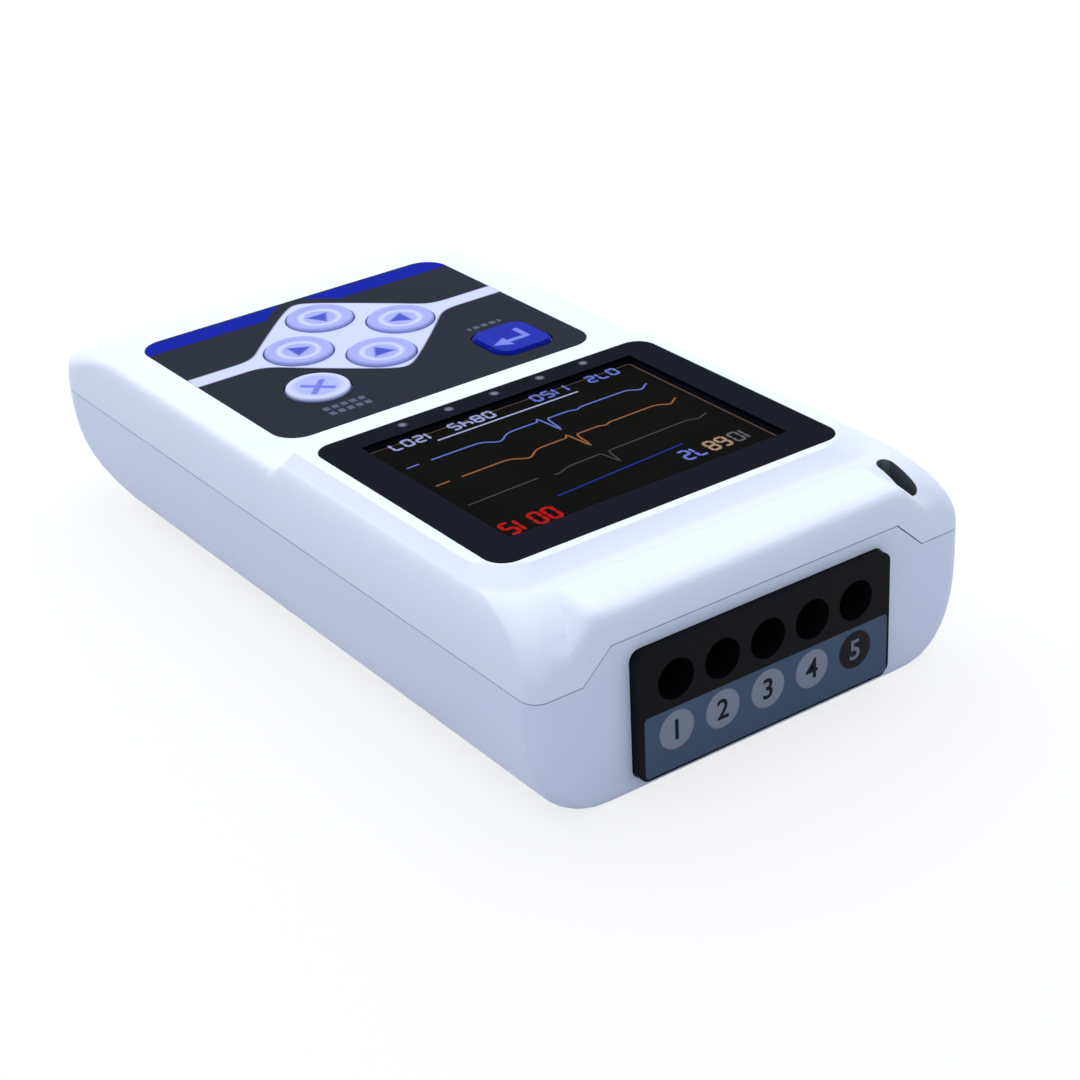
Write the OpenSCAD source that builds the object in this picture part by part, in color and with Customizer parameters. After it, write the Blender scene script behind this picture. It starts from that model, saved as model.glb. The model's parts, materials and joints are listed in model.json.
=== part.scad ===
// Handheld Holter ECG recorder: two moulded shells, a display under a clear
// window, a six-key pad, five shrouded lead pins and a sliding battery door.
// Frame: millimetres, +Z up, origin under the middle of the case on the
// surface it stands on, lead sockets towards -Y, keypad towards +Y.

/* [Case] */
// Height of the upper shell
upper_h = 10.2; // [10:0.1:10.5]
// Thickness of the side walls
wall = 2.2; // [2:0.1:2.4]
// Thickness of roof and floor
skin = 2; // [1.8:0.1:2.1]
// Gap at the parting line
seam_gap = 0.16; // [0.1:0.02:0.24]
// Distance from the keypad to the tip of the nose
nose_l = 15.9; // [15.7:0.1:18]

/* [Case curves] */
// How far the shoulder of a long side leans in
shoulder_in = 3.4; // [3:0.1:3.8]
// Height above the parting line at which the nose reaches furthest out
nose_rise = 3.6; // [3:0.1:4.4]
// How far the underside sweeps up towards the nose
nose_under = 70; // [60:1:76]
// How far the top drops towards the nose
nose_over = 13.6; // [12.6:0.1:13.8]
// Plan radius of the two nose corners
nose_r = 8.7; // [7:0.1:11]
// Plan radius of the two corners beside the sockets
front_r = 2.4; // [2:0.1:3]
// How far the underside of a long side tucks in
belly_in = 12.2; // [11:0.1:13]
// Distance from the parting line down to the start of that tuck
belly_drop = 2.3; // [2:0.1:4]
// How far the top rounds back behind the socket face
brow_back = 12; // [11:0.1:13]
// Height of the sloping edge of the deck
deck_rise = 1.2; // [1.15:0.05:1.35]
// How much lower the keypad lies than the window
pad_drop = 2.5; // [2.3:0.05:2.5]

/* [Socket arch] */
// Distance from the side of the case to the foot of the arch
arch_side = 7.75; // [7.5:0.05:8.5]
// Width of the slope at each end of the arch
arch_run = 4.4; // [4:0.1:4.8]
// Rise of the arch above the parting line
arch_rise = 4.1; // [3.8:0.1:4.4]
// Width of the band between arch and brow edge
brow_band = 1.7; // [1.4:0.1:2]
// Rounding of the brow edge
brow_r = 3.1; // [2.6:0.1:3.4]

/* [Display] */
// Width of the picture
screen_w = 47; // [44:0.1:50]
// Height of the picture
screen_l = 34.6; // [32:0.1:37]
// Black border beside the picture
bezel_side = 5.2; // [4:0.1:6]
// Black border on the socket side of the picture
bezel_front = 5.7; // [4:0.1:7]
// Black border with the indicator lights
bezel_back = 3.9; // [3.8:0.1:6]
// Strip of case beside the window
window_side = 7.05; // [6.8:0.05:8]
// Distance from the socket face to the window
window_front = 15.9; // [15.5:0.1:17]
// Thickness of the window
window_t = 1; // [0.8:0.1:1.2]
// Corner radius of the window
window_r = 3; // [2:0.1:4]
// Gap between the window and its recess
window_gap = 0.12; // [0.08:0.01:0.2]
// Distance between indicator lights
light_pitch = 7.85; // [7:0.05:8.5]

/* [Keypad] */
// Strip of case beside the keypad overlay
pad_side = 8.5; // [8.2:0.05:9]
// Length of the keypad overlay
pad_l = 44.6; // [43:0.1:48]
// Strip of case between window and overlay
pad_strip = 8.9; // [8:0.1:10]
// Thickness of the overlay
pad_t = 0.5; // [0.4:0.05:0.6]
// Corner radius of the overlay
pad_r = 4; // [3:0.1:5]
// Diameter of an arrow key
arrow_d = 10.4; // [9.6:0.1:10.6]
// Distance from the middle of the arrow group to a side key
arrow_x = 9.2; // [9.1:0.05:9.5]
// Distance from the middle of the arrow group to the upper or lower key
arrow_y = 8.8; // [8.75:0.05:9.1]
// Diameter of the round cancel key
cancel_d = 9.6; // [9:0.1:10]
// Side of the square enter key
enter_w = 10; // [9.4:0.1:10.4]
// Height of a key above the overlay
key_proud = 0.45; // [0.3:0.05:0.6]
// Travel of a key
key_travel = 0.5; // [0.4:0.05:0.6]
// Gap around a key
key_gap = 0.3; // [0.26:0.02:0.36]

/* [Lead sockets] */
// Number of lead sockets
lead_count = 5; // [3:1:5]
// Distance between lead sockets
lead_pitch = 7.5; // [7.3:0.1:8]
// Bore of a lead socket
lead_bore = 5.7; // [5.2:0.1:6]
// Diameter of a contact pin
lead_pin = 1.5; // [1.4:0.05:1.6]
// Block beside the outer sockets
block_side = 3.15; // [2:0.05:3.5]
// Height of the block above the parting line
block_over = 2.15; // [1.8:0.05:2.4]
// Distance from the top of the block to the middle of the sockets
lead_drop = 5.3; // [4.6:0.1:6]
// Stand of the block out of the case
block_proud = 1.5; // [1:0.1:2]
// Depth of a pin tip below the socket face
pin_sunk = 2.7; // [2.2:0.1:3.4]

/* [Battery] */
// Diameter of a cell
cell_d = 14.2; // [13.8:0.1:14.5]
// Length of a cell body
cell_l = 49.5; // [46:0.5:52]
// Gap around the battery door
door_gap = 0.25; // [0.2:0.01:0.35]

/* [Strap eye] */
// Length of the strap slot
strap_l = 6.6; // [6:0.1:7]
// Width of the strap slot
strap_w = 2.5; // [2.2:0.1:2.7]
// Height of the eye's floor above the parting line
strap_floor = 2.4; // [2.2:0.1:2.8]

/* [Hidden] */

smooth = 48;                    // facets of a full circle
slack = 0.05;                   // gap of pieces that sit against each other
cut = 1;                        // how far a cutter runs past what it cuts
deck_step = 1.7;                // width of the sloping edge of the deck
step_front = 2.4;               // the same edge on the socket side
ramp_l = 2.8;                   // slope from the window down to the keypad
ramp_start = 0.8;               // from the window to that slope
ramp_steps = 6;
sink_deck = 4.4;                // height over which the outside follows that slope
sink_roof = 5.5;                // the same inside
taper_in = 0.86;                // how much narrower each side is at the nose
toe_r = 1.3;                    // rounding under the socket face

// Battery bay, from the floor up
cell_clear = 0.7;               // room under a cell
cell_gap = 0.25;                // room beside and over a cell
bay_wall = 1.2;
bay_roof = 0.7;
cell_z = skin + cell_clear + cell_d / 2;
cell_x = cell_d / 2 + cell_gap;
tray_w = cell_x + cell_d / 2 + cell_gap + bay_wall;    // half width of the tray
tray_low = 3.6;
tray_top = cell_z + cell_d / 2 + cell_gap + bay_roof;
door_w = 2 * tray_w + 1.1;

// Boards
board_t = 1.2;
board_z = tray_top + 2 * slack;
board_top = board_z + board_t;
board_sink = 0.35;              // board below the parting line
board_side = 4.75;              // from the side of the case to the board

// Whole case
seam_h = board_z + board_sink;  // height of the parting line
body_h = seam_h + upper_h;
window_w = screen_w + 2 * bezel_side;
window_l = bezel_front + screen_l + bezel_back;
body_w = window_w + 2 * window_side;
body_l = window_front + window_l + pad_strip + pad_l + nose_l;
half_w = body_w / 2;
front_y = -(body_l + block_proud) / 2 + block_proud;   // plane of the socket face
nose_y = front_y + body_l;
nose_h = seam_h + nose_rise;
belly_h = seam_h - belly_drop;
deck_z = body_h - deck_rise;    // level below the sloping edge
shoulder_z = seam_h + 0.8;      // where the shoulder starts to lean
brow_z = seam_h + 1.3;          // where the corners beside the brow fall back
roof_z = body_h - skin - 0.4;   // underside of the roof
arch_foot = half_w - arch_side; // half widths of the arch
arch_top = arch_foot - arch_run;

// Display stack
win_y0 = front_y + window_front;
win_y = win_y0 + window_l / 2;
ramp_y = win_y0 + window_l + ramp_start;
win_z = body_h - window_t;
tape_t = 0.1;
screen_x = 0.5;                 // picture centre, off the middle
screen_y = win_y0 + bezel_front + screen_l / 2;
view_edge = 2.3;                // opening in the roof, beside the picture
view_end = 1.3;                 // and at its ends
view_w = screen_w + 2 * view_edge;
view_l = screen_l + 2 * view_end;
glass_w = view_w - 0.8;         // front glass of the panel
glass_l = view_l - 0.8;
panel_w = view_w + 7;           // rear glass of the panel
panel_l = view_l + 5.5;
panel_t = 1.6;
panel_x = screen_x - 0.5;
panel_y = screen_y + 0.4;
panel_z = roof_z - slack - panel_t;
frame_wall = 2.5;
frame_lip = 6;                  // floor of the frame, in from its outside
frame_floor = 1;
flex_w = 16;
light_d = 1.2;
light_gap = 0.1;
light_y = win_y0 + window_l - 1.55;

// Keypad stack
pad_z = body_h - pad_drop;      // top of the overlay
pad_roof = roof_z - pad_drop;
pad_w = body_w - 2 * pad_side;
pad_y0 = win_y0 + window_l + pad_strip;
pad_y = pad_y0 + pad_l / 2;
arrow_cx = 0;                   // middle of the arrow group
arrow_cy = pad_y + 4.1;
cancel_x = -14.1;
cancel_y = pad_y - 9.3;
enter_x = 17.6;
enter_y = pad_y - 13.7;
enter_r = 2.6;
flange_out = 0.8;               // key flange beyond the key
flange_t = 0.9;
flange_z = pad_roof - 0.3 - flange_t;
stem_d = 3.2;
switch_w = 6;
switch_h = 1.4;
plunger_h = 0.4;
switch_gap = key_travel + 0.25; // play between stem and switch
stem_l = flange_z - switch_gap - board_top - switch_h;

// Main board and what it carries
board_w = body_w - 2 * board_side;
board_y0 = win_y0 + 1;
board_inset = 4.9;    // from the keypad's far edge to the board's
board_y1 = pad_y0 + pad_l - board_inset;
board_round = 2;
strip_x = (tray_w + board_w / 2) / 2;   // middle of the strip beside the bay
clock_d = 12;
clock_h = 2.4;
clock_lid_h = 0.5;
clock_rim = 1;
clock_back = 6.4;     // clock cell behind the nearer board screws
sounder_d = 9;
sounder_h = 4;
sounder_y = board_y0 + 42;
sounder_hole_d = 2;

// Socket block
block_z = 1.95;
block_top = seam_h + block_over;
block_h = block_top - block_z;
block_w = (lead_count - 1) * lead_pitch + lead_bore + 2 * block_side;
lead_z = block_top - lead_drop;
block_y = front_y - block_proud;
block_r = 1.5;
flange_y = front_y + wall + slack;
block_flange = 1.6;
block_back = flange_y + 9.2;
socket_end = block_back - 1.2;
strip_h = 9.4;                  // body behind the flange
lead_board_y = block_back + 1;
pin_tip = block_y + pin_sunk;
lead_shank = lead_pin + 0.6;    // thicker root of a pin
pin_step = 0.3;                 // root standing clear of the socket floor
collar_d = 3.2;
link_w = 22;
link_h = 1.2;
label_t = 0.25;
label_sunk = 0.06;              // label below the face of the block
label_h = 8.9;                  // height of the label band
label_w = block_w - 1.2;
label_x = 0.3;
label_z = block_z + label_h / 2 + 0.25;

// Battery parts
bay_back = 36;                  // from the tip of the nose to the bay
plate_t = 0.4;
plate_w = 11;
nub_l = 1;                      // raised plus end of a cell
nub_d = 5.4;
spring_l = 4.4;
spring_r = 4;
bay_y1 = nose_y - bay_back;
cell_y1 = bay_y1 - bay_wall - plate_t - 0.2 - spring_l;
cell_y0 = cell_y1 - cell_l;
bay_y0 = cell_y0 - nub_l - 0.2 - plate_t - bay_wall;
door_y0 = bay_y0 - 2;
door_top = 13;
tab_l = 3.4;
tab_w = 3;
tab_in = 2.2;                   // from the side of the door to a tab
grip_w = 12;                    // finger ribs of the door
grip_pitch = 3;

// Screws
case_screw_x = half_w - 8.25;
case_screw_front = win_y0 - 2.7;
case_screw_nose = nose_y - 17;
screw_d = 2.6;
boss_d = 6;
head_d = 4.6;
head_h = 2;
head_z = 5.2;
board_screw_x = half_w - 7.15;
board_screw_d = 2;
post_d = 4.2;
board_screw_ys = [pad_y0 - 1, board_y1 - 3.2];
clock_y = board_screw_ys[0] + clock_back;

// Strap eye
strap_x = half_w - 6.9;
strap_y = front_y + 5.8;
strap_z = seam_h + strap_floor;
strap_wall = 1.2;

// Data port
usb_y = win_y0 + 30;
usb_w = 7.7;
usb_h = 3.9;
usb_l = 9.2;
usb_z = board_z - usb_h / 2 - slack;
usb_skin = 0.35;                // sheet of the receptacle
usb_gap = 0.4;

// ---- Shape of the case ----

// Depth of a super-elliptic quarter, 0 at t = 0 and 1 at t = 1.
function quarter(t, n) = let (s = min(max(t, 0), 1)) 1 - pow(max(1 - pow(s, n), 0), 1 / n);

function side_in(z) = z > shoulder_z
    ? shoulder_in * quarter((z - shoulder_z) / (deck_z - shoulder_z), 1.6)
    : belly_in * quarter((belly_h - z) / belly_h, 2.9);
function front_in(z) = z > brow_z
    ? brow_back * quarter((z - brow_z) / (deck_z - brow_z), 2)
    : 0.7 * quarter((toe_r - z) / toe_r, 2);
function nose_in(z) = z > nose_h
    ? nose_over * quarter((z - nose_h) / (deck_z - nose_h), 1.1)
    : nose_under * quarter((nose_h - z) / nose_h, 3.6);

// Share of the drop from window to keypad that is reached at y.
function fall(y) = let (s = min(max((y - ramp_y) / ramp_l, 0), 1)) s * s * (3 - 2 * s);

// Drop of the outside and of the roof at one level, behind the slope.
function sink(z) = z > deck_z ? z - deck_z + pad_drop - deck_rise
    : (pad_drop - deck_rise) * pow(max(z - deck_z + sink_deck, 0) / sink_deck, 3);
function roof_sink(z) = pad_drop * pow(max(z - roof_z + sink_roof, 0) / sink_roof, 2);

// Right half of a plan outline at one level, from the front to the nose: two
// corner arcs of n steps, and between them stations on the slope. The points
// behind the slope lie lower by drop.
function half_outline(z, side, front, back, n, drop) = let (
        w = half_w - side,
        narrow = taper_in * min(max((deck_z - z) / (deck_z - nose_h), 0), 1),
        far = max(nose_r - 0.02 * back, 1),
        near = front_r + 0.3 * front,
        y0 = front_y + front + near,
        y1 = nose_y - back - far,
        long = y1 > ramp_y + 2 * ramp_l,
        first = long ? ramp_y : y0 + (y1 - y0) / 3,
        run = long ? ramp_l : (y1 - y0) / 3
    ) [
        for (i = [0:n]) let (a = -90 + 90 * i / n) [w - near + near * cos(a), y0 + near * sin(a), z],
        for (i = [0:ramp_steps]) let (y = first + run * i / ramp_steps)
            [w - narrow * (y - y0) / (y1 - y0), y, z - drop * fall(y)],
        for (i = [0:n]) let (a = 90 * i / n)
            [w - narrow - far + far * cos(a), y1 + far * sin(a), z - drop]
    ];

function outline(z, side, front, back, n, drop = 0) =
    let (h = half_outline(z, side, front, back, n, drop), last = len(h) - 1)
    concat(h, [for (i = [0:last]) let (p = h[last - i]) [-p[0], p[1], p[2]]]);

function case_ring(z, n) = outline(z, side_in(z), front_in(z), nose_in(z), n, sink(z));

// Skin through a stack of rings that all have the same number of points. Each
// end is closed by strips between a point and its mirror image.
module loft(rings) {
    n = len(rings[0]);
    last = len(rings) - 1;
    polyhedron(
        points = [for (r = rings) each r],
        faces = concat(
            [for (j = [0:n / 2 - 2]) [j, j + 1, n - 2 - j, n - 1 - j]],
            [for (i = [0:last - 1], j = [0:n - 1]) let (k = (j + 1) % n)
                each [[i * n + j, (i + 1) * n + j, (i + 1) * n + k],
                      [i * n + j, (i + 1) * n + k, i * n + k]]],
            [for (j = [0:n / 2 - 2]) [for (k = [n - 1 - j, n - 2 - j, j + 1, j]) last * n + k]]
        ),
        convexity = 6
    );
}

module upper_form() {
    steps = 12;
    loft(concat(
        [for (i = [0:steps]) case_ring(seam_h + seam_gap / 2
            + (deck_z - seam_h - seam_gap / 2) * sin(90 * i / steps), 7)],
        [outline(body_h, side_in(deck_z) + deck_step, front_in(deck_z) + step_front,
            nose_in(deck_z) + deck_step, 7, pad_drop)]
    ));
}

module lower_form() {
    steps = 14;
    loft([for (i = [0:steps]) case_ring((seam_h - seam_gap / 2) * (1 - cos(90 * i / steps)), 7)]);
}

// Room inside both shells: the case form moved in by the wall, its height
// fitted between floor and roof.
function room_z(z) = (z - skin) * deck_z / (roof_z - skin);
module room() {
    steps = 9;
    loft([for (i = [0:steps]) let (z = skin + (roof_z - skin) * (1 - cos(180 * i / steps)) / 2,
            q = room_z(z))
        outline(z, side_in(q) + wall, front_in(q) * 0.75 + wall, nose_in(q) + wall, 3,
            roof_sink(z))]);
}

// Straight band that follows the wall across the parting line.
module seam_band(inset, z0, z1) {
    loft([for (z = [z0, z1]) outline(z, inset, inset, inset + nose_in(seam_h), 4)]);
}

module rounded(w, l, r) {
    square([w - 2 * r, l], center = true);
    square([w, l - 2 * r], center = true);
    for (x = [-1, 1], y = [-1, 1])
        translate([x * (w / 2 - r), y * (l / 2 - r)]) circle(r = r, $fn = smooth);
}

module slab(w, l, r, z0, z1) {
    translate([0, 0, z0]) linear_extrude(z1 - z0) rounded(w, l, r);
}

module rod(d, z0, z1) {
    translate([0, 0, z0]) cylinder(d = d, h = z1 - z0, $fn = smooth);
}

module rod_y(d, y0, y1) {
    translate([0, y0, 0]) rotate([-90, 0, 0]) cylinder(d = d, h = y1 - y0, $fn = smooth);
}

module block(x0, x1, y0, y1, z0, z1) {
    translate([x0, y0, z0]) cube([x1 - x0, y1 - y0, z1 - z0]);
}

// ---- Socket arch and brow ----

arch_slope = atan2(arch_rise, arch_foot - arch_top);

// Front view of the arch, moved out by e.
module arch_outline(e) {
    x = e / tan(90 - arch_slope / 2);
    run = (arch_foot - arch_top) / arch_rise;
    polygon([[-arch_foot - e / sin(arch_slope), seam_h], [-arch_top - x, seam_h + arch_rise + e],
        [arch_top + x, seam_h + arch_rise + e], [arch_foot + e / sin(arch_slope), seam_h],
        [arch_foot + e / sin(arch_slope) + run * cut, seam_h - cut],
        [-arch_foot - e / sin(arch_slope) - run * cut, seam_h - cut]]);
}

module arch_prism(e, y0, y1) {
    translate([0, y1, 0]) rotate([90, 0, 0]) linear_extrude(y1 - y0) arch_outline(e);
}

// Front view of the brow at depth y, its corners rounded, as a ring in space.
function brow_ring(e, y) = let (
        r = 3,
        m = brow_band + e - r,
        top = seam_h + arch_rise + m,
        x = arch_top + m * tan(arch_slope / 2),
        foot = arch_foot + (brow_band + e) / sin(arch_slope),
        z0 = seam_h + seam_gap / 2
    ) [
        [-foot, y, z0],
        for (i = [0:5]) let (a = 90 + arch_slope * (1 - i / 5)) [-x + r * cos(a), y, top + r * sin(a)],
        for (i = [0:5]) let (a = 90 - arch_slope * i / 5) [x + r * cos(a), y, top + r * sin(a)],
        [foot, y, z0]
    ];

module brow() {
    steps = 7;
    loft(concat(
        [for (i = [0:steps]) let (a = 90 * i / steps)
            brow_ring(brow_r * sin(a), front_y + brow_r * (1 - cos(a)))],
        [brow_ring(brow_r, front_y + brow_back - 3)]
    ));
}

// ---- Strap eye ----

// A slot down through the roof that turns out through the side wall, so a
// cord can loop round the shoulder of the case.
module strap_eye() {
    translate([strap_x, strap_y]) slab(strap_w, strap_l, strap_w / 2 - 0.05, strap_z, body_h + cut);
    translate([strap_x - strap_w / 2, strap_y, strap_z + strap_w / 2]) rotate([90, 0, 90])
        slab(strap_l, strap_w, strap_w / 2 - 0.05, 0, half_w);
}

module strap_lining() {
    block(strap_x - strap_w / 2 - strap_wall, half_w, strap_y - strap_l / 2 - strap_wall,
        strap_y + strap_l / 2 + strap_wall, strap_z - strap_wall + 0.2, body_h);
}

// ---- Case screws ----

module at_case_screws() {
    for (x = [-1, 1], y = [case_screw_front, case_screw_nose])
        let ($roof = y > ramp_y ? pad_roof : roof_z)
            translate([x * case_screw_x, y, 0]) children();
}

module at_board_screws() {
    for (x = [-1, 1], y = board_screw_ys) translate([x * board_screw_x, y, 0]) children();
}

// ---- Keys ----

arrow_spots = [[arrow_cx, arrow_cy + arrow_y], [arrow_cx, arrow_cy - arrow_y],
    [arrow_cx - arrow_x, arrow_cy], [arrow_cx + arrow_x, arrow_cy]];
key_spots = concat(arrow_spots, [[cancel_x, cancel_y], [enter_x, enter_y]]);

module key_holes(z0, z1) {
    for (p = arrow_spots) translate(p) rod(arrow_d + 2 * key_gap, z0, z1);
    translate([cancel_x, cancel_y]) rod(cancel_d + 2 * key_gap, z0, z1);
    translate([enter_x, enter_y])
        slab(enter_w + 2 * key_gap, enter_w + 2 * key_gap, enter_r + key_gap, z0, z1);
}

// Round key: a dished cap with a rolled rim, a flange under the roof and a stem.
module round_key(d) {
    top = pad_z + key_proud;
    roll = 0.4;
    rotate_extrude($fn = smooth) {
        polygon([[0, flange_z], [d / 2 + flange_out, flange_z],
            [d / 2 + flange_out, flange_z + flange_t], [d / 2, flange_z + flange_t],
            [d / 2, top - roll],
            for (i = [1:4]) [d / 2 - roll + roll * cos(22.5 * i), top - roll + roll * sin(22.5 * i)],
            [d / 2 - 1.3, top], [d / 2 - 1.8, top - 0.2], [0, top - 0.2]]);
    }
    rod(stem_d, flange_z - stem_l, flange_z + slack);
}

module square_key(w, r) {
    top = pad_z + key_proud;
    lip = 0.4;
    slab(w + 2 * flange_out, w + 2 * flange_out, r + flange_out, flange_z, flange_z + flange_t);
    slab(w, w, r, flange_z + flange_t, top - lip);
    slab(w - lip, w - lip, r - lip / 2, top - lip, top - lip / 2);
    slab(w - 2 * lip, w - 2 * lip, r - lip, top - lip / 2, top);
    rod(stem_d, flange_z - stem_l, flange_z);
}

// ---- Case shells ----

module top_shell() {
    color([0.90, 0.94, 0.99]) difference() {
        union() {
            difference() {
                union() {
                    upper_form();
                    brow();
                }
                room();
            }
            intersection() {
                union() {
                    strap_lining();
                    at_case_screws() rod(boss_d, seam_h + seam_gap, $roof + 0.4);
                }
                upper_form();
            }
            at_board_screws() rod(post_d, board_top + slack, pad_roof + slack);
        }
        seam_rebate();
        arch_prism(seam_gap, front_y - cut, flange_y + block_flange + slack);
        translate([0, win_y]) slab(window_w + 2 * window_gap, window_l + 2 * window_gap,
            window_r + window_gap, win_z - tape_t, body_h + cut);
        translate([screen_x, screen_y]) slab(view_w, view_l, 1.5, roof_z - cut, body_h);
        at_lights() rod(light_d + 2 * light_gap, roof_z - cut, body_h);
        translate([0, pad_y]) slab(pad_w + 2 * window_gap, pad_l + 2 * window_gap,
            pad_r + window_gap, pad_z - pad_t, body_h);
        key_holes(pad_roof - cut, pad_z);
        strap_eye();
        at_case_screws() rod(screw_d, seam_h - cut, $roof - 1);
        at_board_screws() rod(board_screw_d, board_z, pad_roof - 1);
    }
}

// Step inside the upper wall that takes the lower shell's lip.
lip_t = 0.9;
lip_h = 1.1;
module seam_rebate() {
    difference() {
        seam_band(wall - lip_t - 0.15, seam_h - cut, seam_h + lip_h + 0.15);
        block(-arch_foot - 3.5, arch_foot + 3.5, front_y - cut, front_y + wall + 1, 0, body_h);
    }
}

module seam_lip() {
    difference() {
        seam_band(wall - lip_t, seam_h - 1.5, seam_h + lip_h);
        seam_band(wall, seam_h - 2.5, seam_h + lip_h + cut);
        block(-arch_foot - 4, arch_foot + 4, front_y - cut, front_y + wall + 1.2, 0, body_h);
    }
}

module usb_opening() {
    block(half_w - shoulder_in - wall, half_w + cut, usb_y - usb_w / 2 - usb_gap,
        usb_y + usb_w / 2 + usb_gap, usb_z - usb_h / 2 - usb_gap, seam_h + lip_h + cut);
}

module door_opening(gap) {
    block(-door_w / 2 - gap, door_w / 2 + gap, door_y0 - gap, nose_y + cut, -cut, door_top + gap);
}

module bottom_shell() {
    color([0.72, 0.78, 0.88]) difference() {
        union() {
            difference() {
                lower_form();
                room();
            }
            seam_lip();
            arch_prism(0, front_y, front_y + wall - slack);
            intersection() {
                at_case_screws() rod(boss_d, 0, seam_h - slack);
                lower_form();
            }
        }
        translate([0, 0, block_z + block_h / 2]) rotate([90, 0, 0])
            slab(block_w + 0.2, block_h + 0.2, block_r + 0.1, -front_y - wall - cut, -front_y + cut);
        door_opening(0);
        at_case_screws() {
            rod(screw_d + 0.4, -cut, seam_h + cut);
            rod(head_d + 0.4, -cut, head_z);
        }
        usb_opening();
    }
}

module battery_door() {
    color([0.72, 0.78, 0.88]) difference() {
        union() {
            intersection() {
                difference() {
                    lower_form();
                    room();
                }
                door_opening(-door_gap);
            }
            for (x = [-1, 0, 1] * (door_w / 2 - tab_in)) {
                block(x - tab_w / 2, x + tab_w / 2, door_y0 - tab_l, door_y0 + 3, skin + 0.2, skin + 1.2);
                block(x - tab_w / 2, x + tab_w / 2, door_y0 + door_gap, door_y0 + 3, skin - 0.5, skin + 0.3);
            }
        }
        for (i = [0:3]) translate([0, nose_y - 34 + grip_pitch * i, 0.35 - skin / 2])
            block(-grip_w / 2, grip_w / 2, -0.6, 0.6, -skin, skin / 2);
    }
}

// ---- Display ----

module display_window() {
    color([0.10, 0.11, 0.15, 0.6]) translate([0, win_y]) slab(window_w, window_l, window_r, win_z, body_h);
}

module window_tape() {
    color([0.05, 0.05, 0.06]) difference() {
        translate([0, win_y])
            slab(window_w - 0.4, window_l - 0.4, window_r - 0.2, win_z - tape_t, win_z);
        translate([screen_x, screen_y]) slab(view_w, view_l, 1.5, 0, body_h);
        at_lights() rod(light_d + 2 * light_gap, 0, body_h);
    }
}

module lcd_panel() {
    color([0.04, 0.04, 0.05]) {
        translate([panel_x, panel_y]) slab(panel_w, panel_l, 0.5, panel_z, panel_z + panel_t);
        translate([screen_x, screen_y])
            slab(glass_w, glass_l, 0.8, panel_z + panel_t, win_z - tape_t - slack);
    }
}

module lcd_frame() {
    color([0.85, 0.85, 0.82]) translate([panel_x, panel_y]) difference() {
        slab(panel_w, panel_l, 1, board_top + slack, panel_z - slack);
        slab(panel_w - 2 * frame_wall, panel_l - 2 * frame_wall, 1, board_top + frame_floor, body_h);
        slab(panel_w - 2 * frame_lip, panel_l - 2 * frame_lip, 1, 0, body_h);
    }
}

// Ribbon from the panel down to the board, past the side of the frame.
module display_flex() {
    x0 = panel_x + panel_w / 2;
    color([0.75, 0.45, 0.15]) translate([0, panel_y + flex_w / 2, 0]) rotate([90, 0, 0])
        linear_extrude(flex_w)
        polygon([[x0 + 0.1, panel_z + 1.2], [x0 + 0.1, panel_z + 0.9], [x0 + 0.5, panel_z + 0.5],
            [x0 + 0.5, board_top + 0.3], [x0 + 0.1, board_top + 0.05], [x0 + 0.9, board_top + 0.05],
            [x0 + 0.75, board_top + 0.3], [x0 + 0.75, panel_z + 0.7], [x0 + 0.4, panel_z + 1.2]]);
}

module at_lights() {
    for (i = [-2:2]) translate([screen_x + i * light_pitch, light_y]) children();
}

module indicator_lights() {
    color([0.80, 0.84, 0.90]) at_lights()
        rod(light_d, roof_z, win_z - slack);
}

// ---- Keypad ----

module keypad_overlay() {
    color([0.21, 0.23, 0.26]) difference() {
        translate([0, pad_y]) slab(pad_w, pad_l, pad_r, pad_z - pad_t + 0.02, pad_z);
        key_holes(pad_z - cut, pad_z + cut);
    }
}

module key_up() { color([0.82, 0.84, 0.98]) translate(arrow_spots[0]) round_key(arrow_d); }
module key_down() { color([0.82, 0.84, 0.98]) translate(arrow_spots[1]) round_key(arrow_d); }
module key_left() { color([0.82, 0.84, 0.98]) translate(arrow_spots[2]) round_key(arrow_d); }
module key_right() { color([0.82, 0.84, 0.98]) translate(arrow_spots[3]) round_key(arrow_d); }
module key_cancel() { color([0.82, 0.84, 0.98]) translate([cancel_x, cancel_y]) round_key(cancel_d); }
module key_enter() { color([0.12, 0.19, 0.62]) translate([enter_x, enter_y]) square_key(enter_w, enter_r); }

module key_switches() {
    color([0.25, 0.25, 0.27]) for (p = key_spots) translate(p) {
        slab(switch_w, switch_w, 0.6, board_top + slack, board_top + switch_h - plunger_h);
        rod(stem_d + 0.2, board_top + switch_h - plunger_h, board_top + switch_h);
    }
}

// ---- Electronics ----

module main_board() {
    color([0.10, 0.42, 0.24]) difference() {
        translate([0, (board_y0 + board_y1) / 2])
            slab(board_w, board_y1 - board_y0, board_round, board_z, board_top);
        at_board_screws() rod(board_screw_d + 0.3, board_z - cut, board_top + cut);
        at_case_screws() rod(boss_d + 0.6, board_z - cut, board_top + cut);
    }
}

// Chips under the board: width, length, height, side of the bay, distance
// from the socket end of the board.
chips = [[9, 9, 1, -1, 18], [7, 7, 1, -1, 34], [4.5, 3, 1, -1, 45], [5, 3.4, 1.6, -1, 68],
    [10, 6, 1.2, 1, 10], [8, 5, 1.4, 1, 56.5], [6, 6, 1, 1, 68], [6, 3.6, 1.4, 1, 80]];
module board_chips() {
    color([0.08, 0.08, 0.09]) for (c = chips) translate([c[3] * strip_x, board_y0 + c[4]])
        slab(c[0], c[1], 0.3, board_z - slack - c[2], board_z - slack);
}

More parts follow.
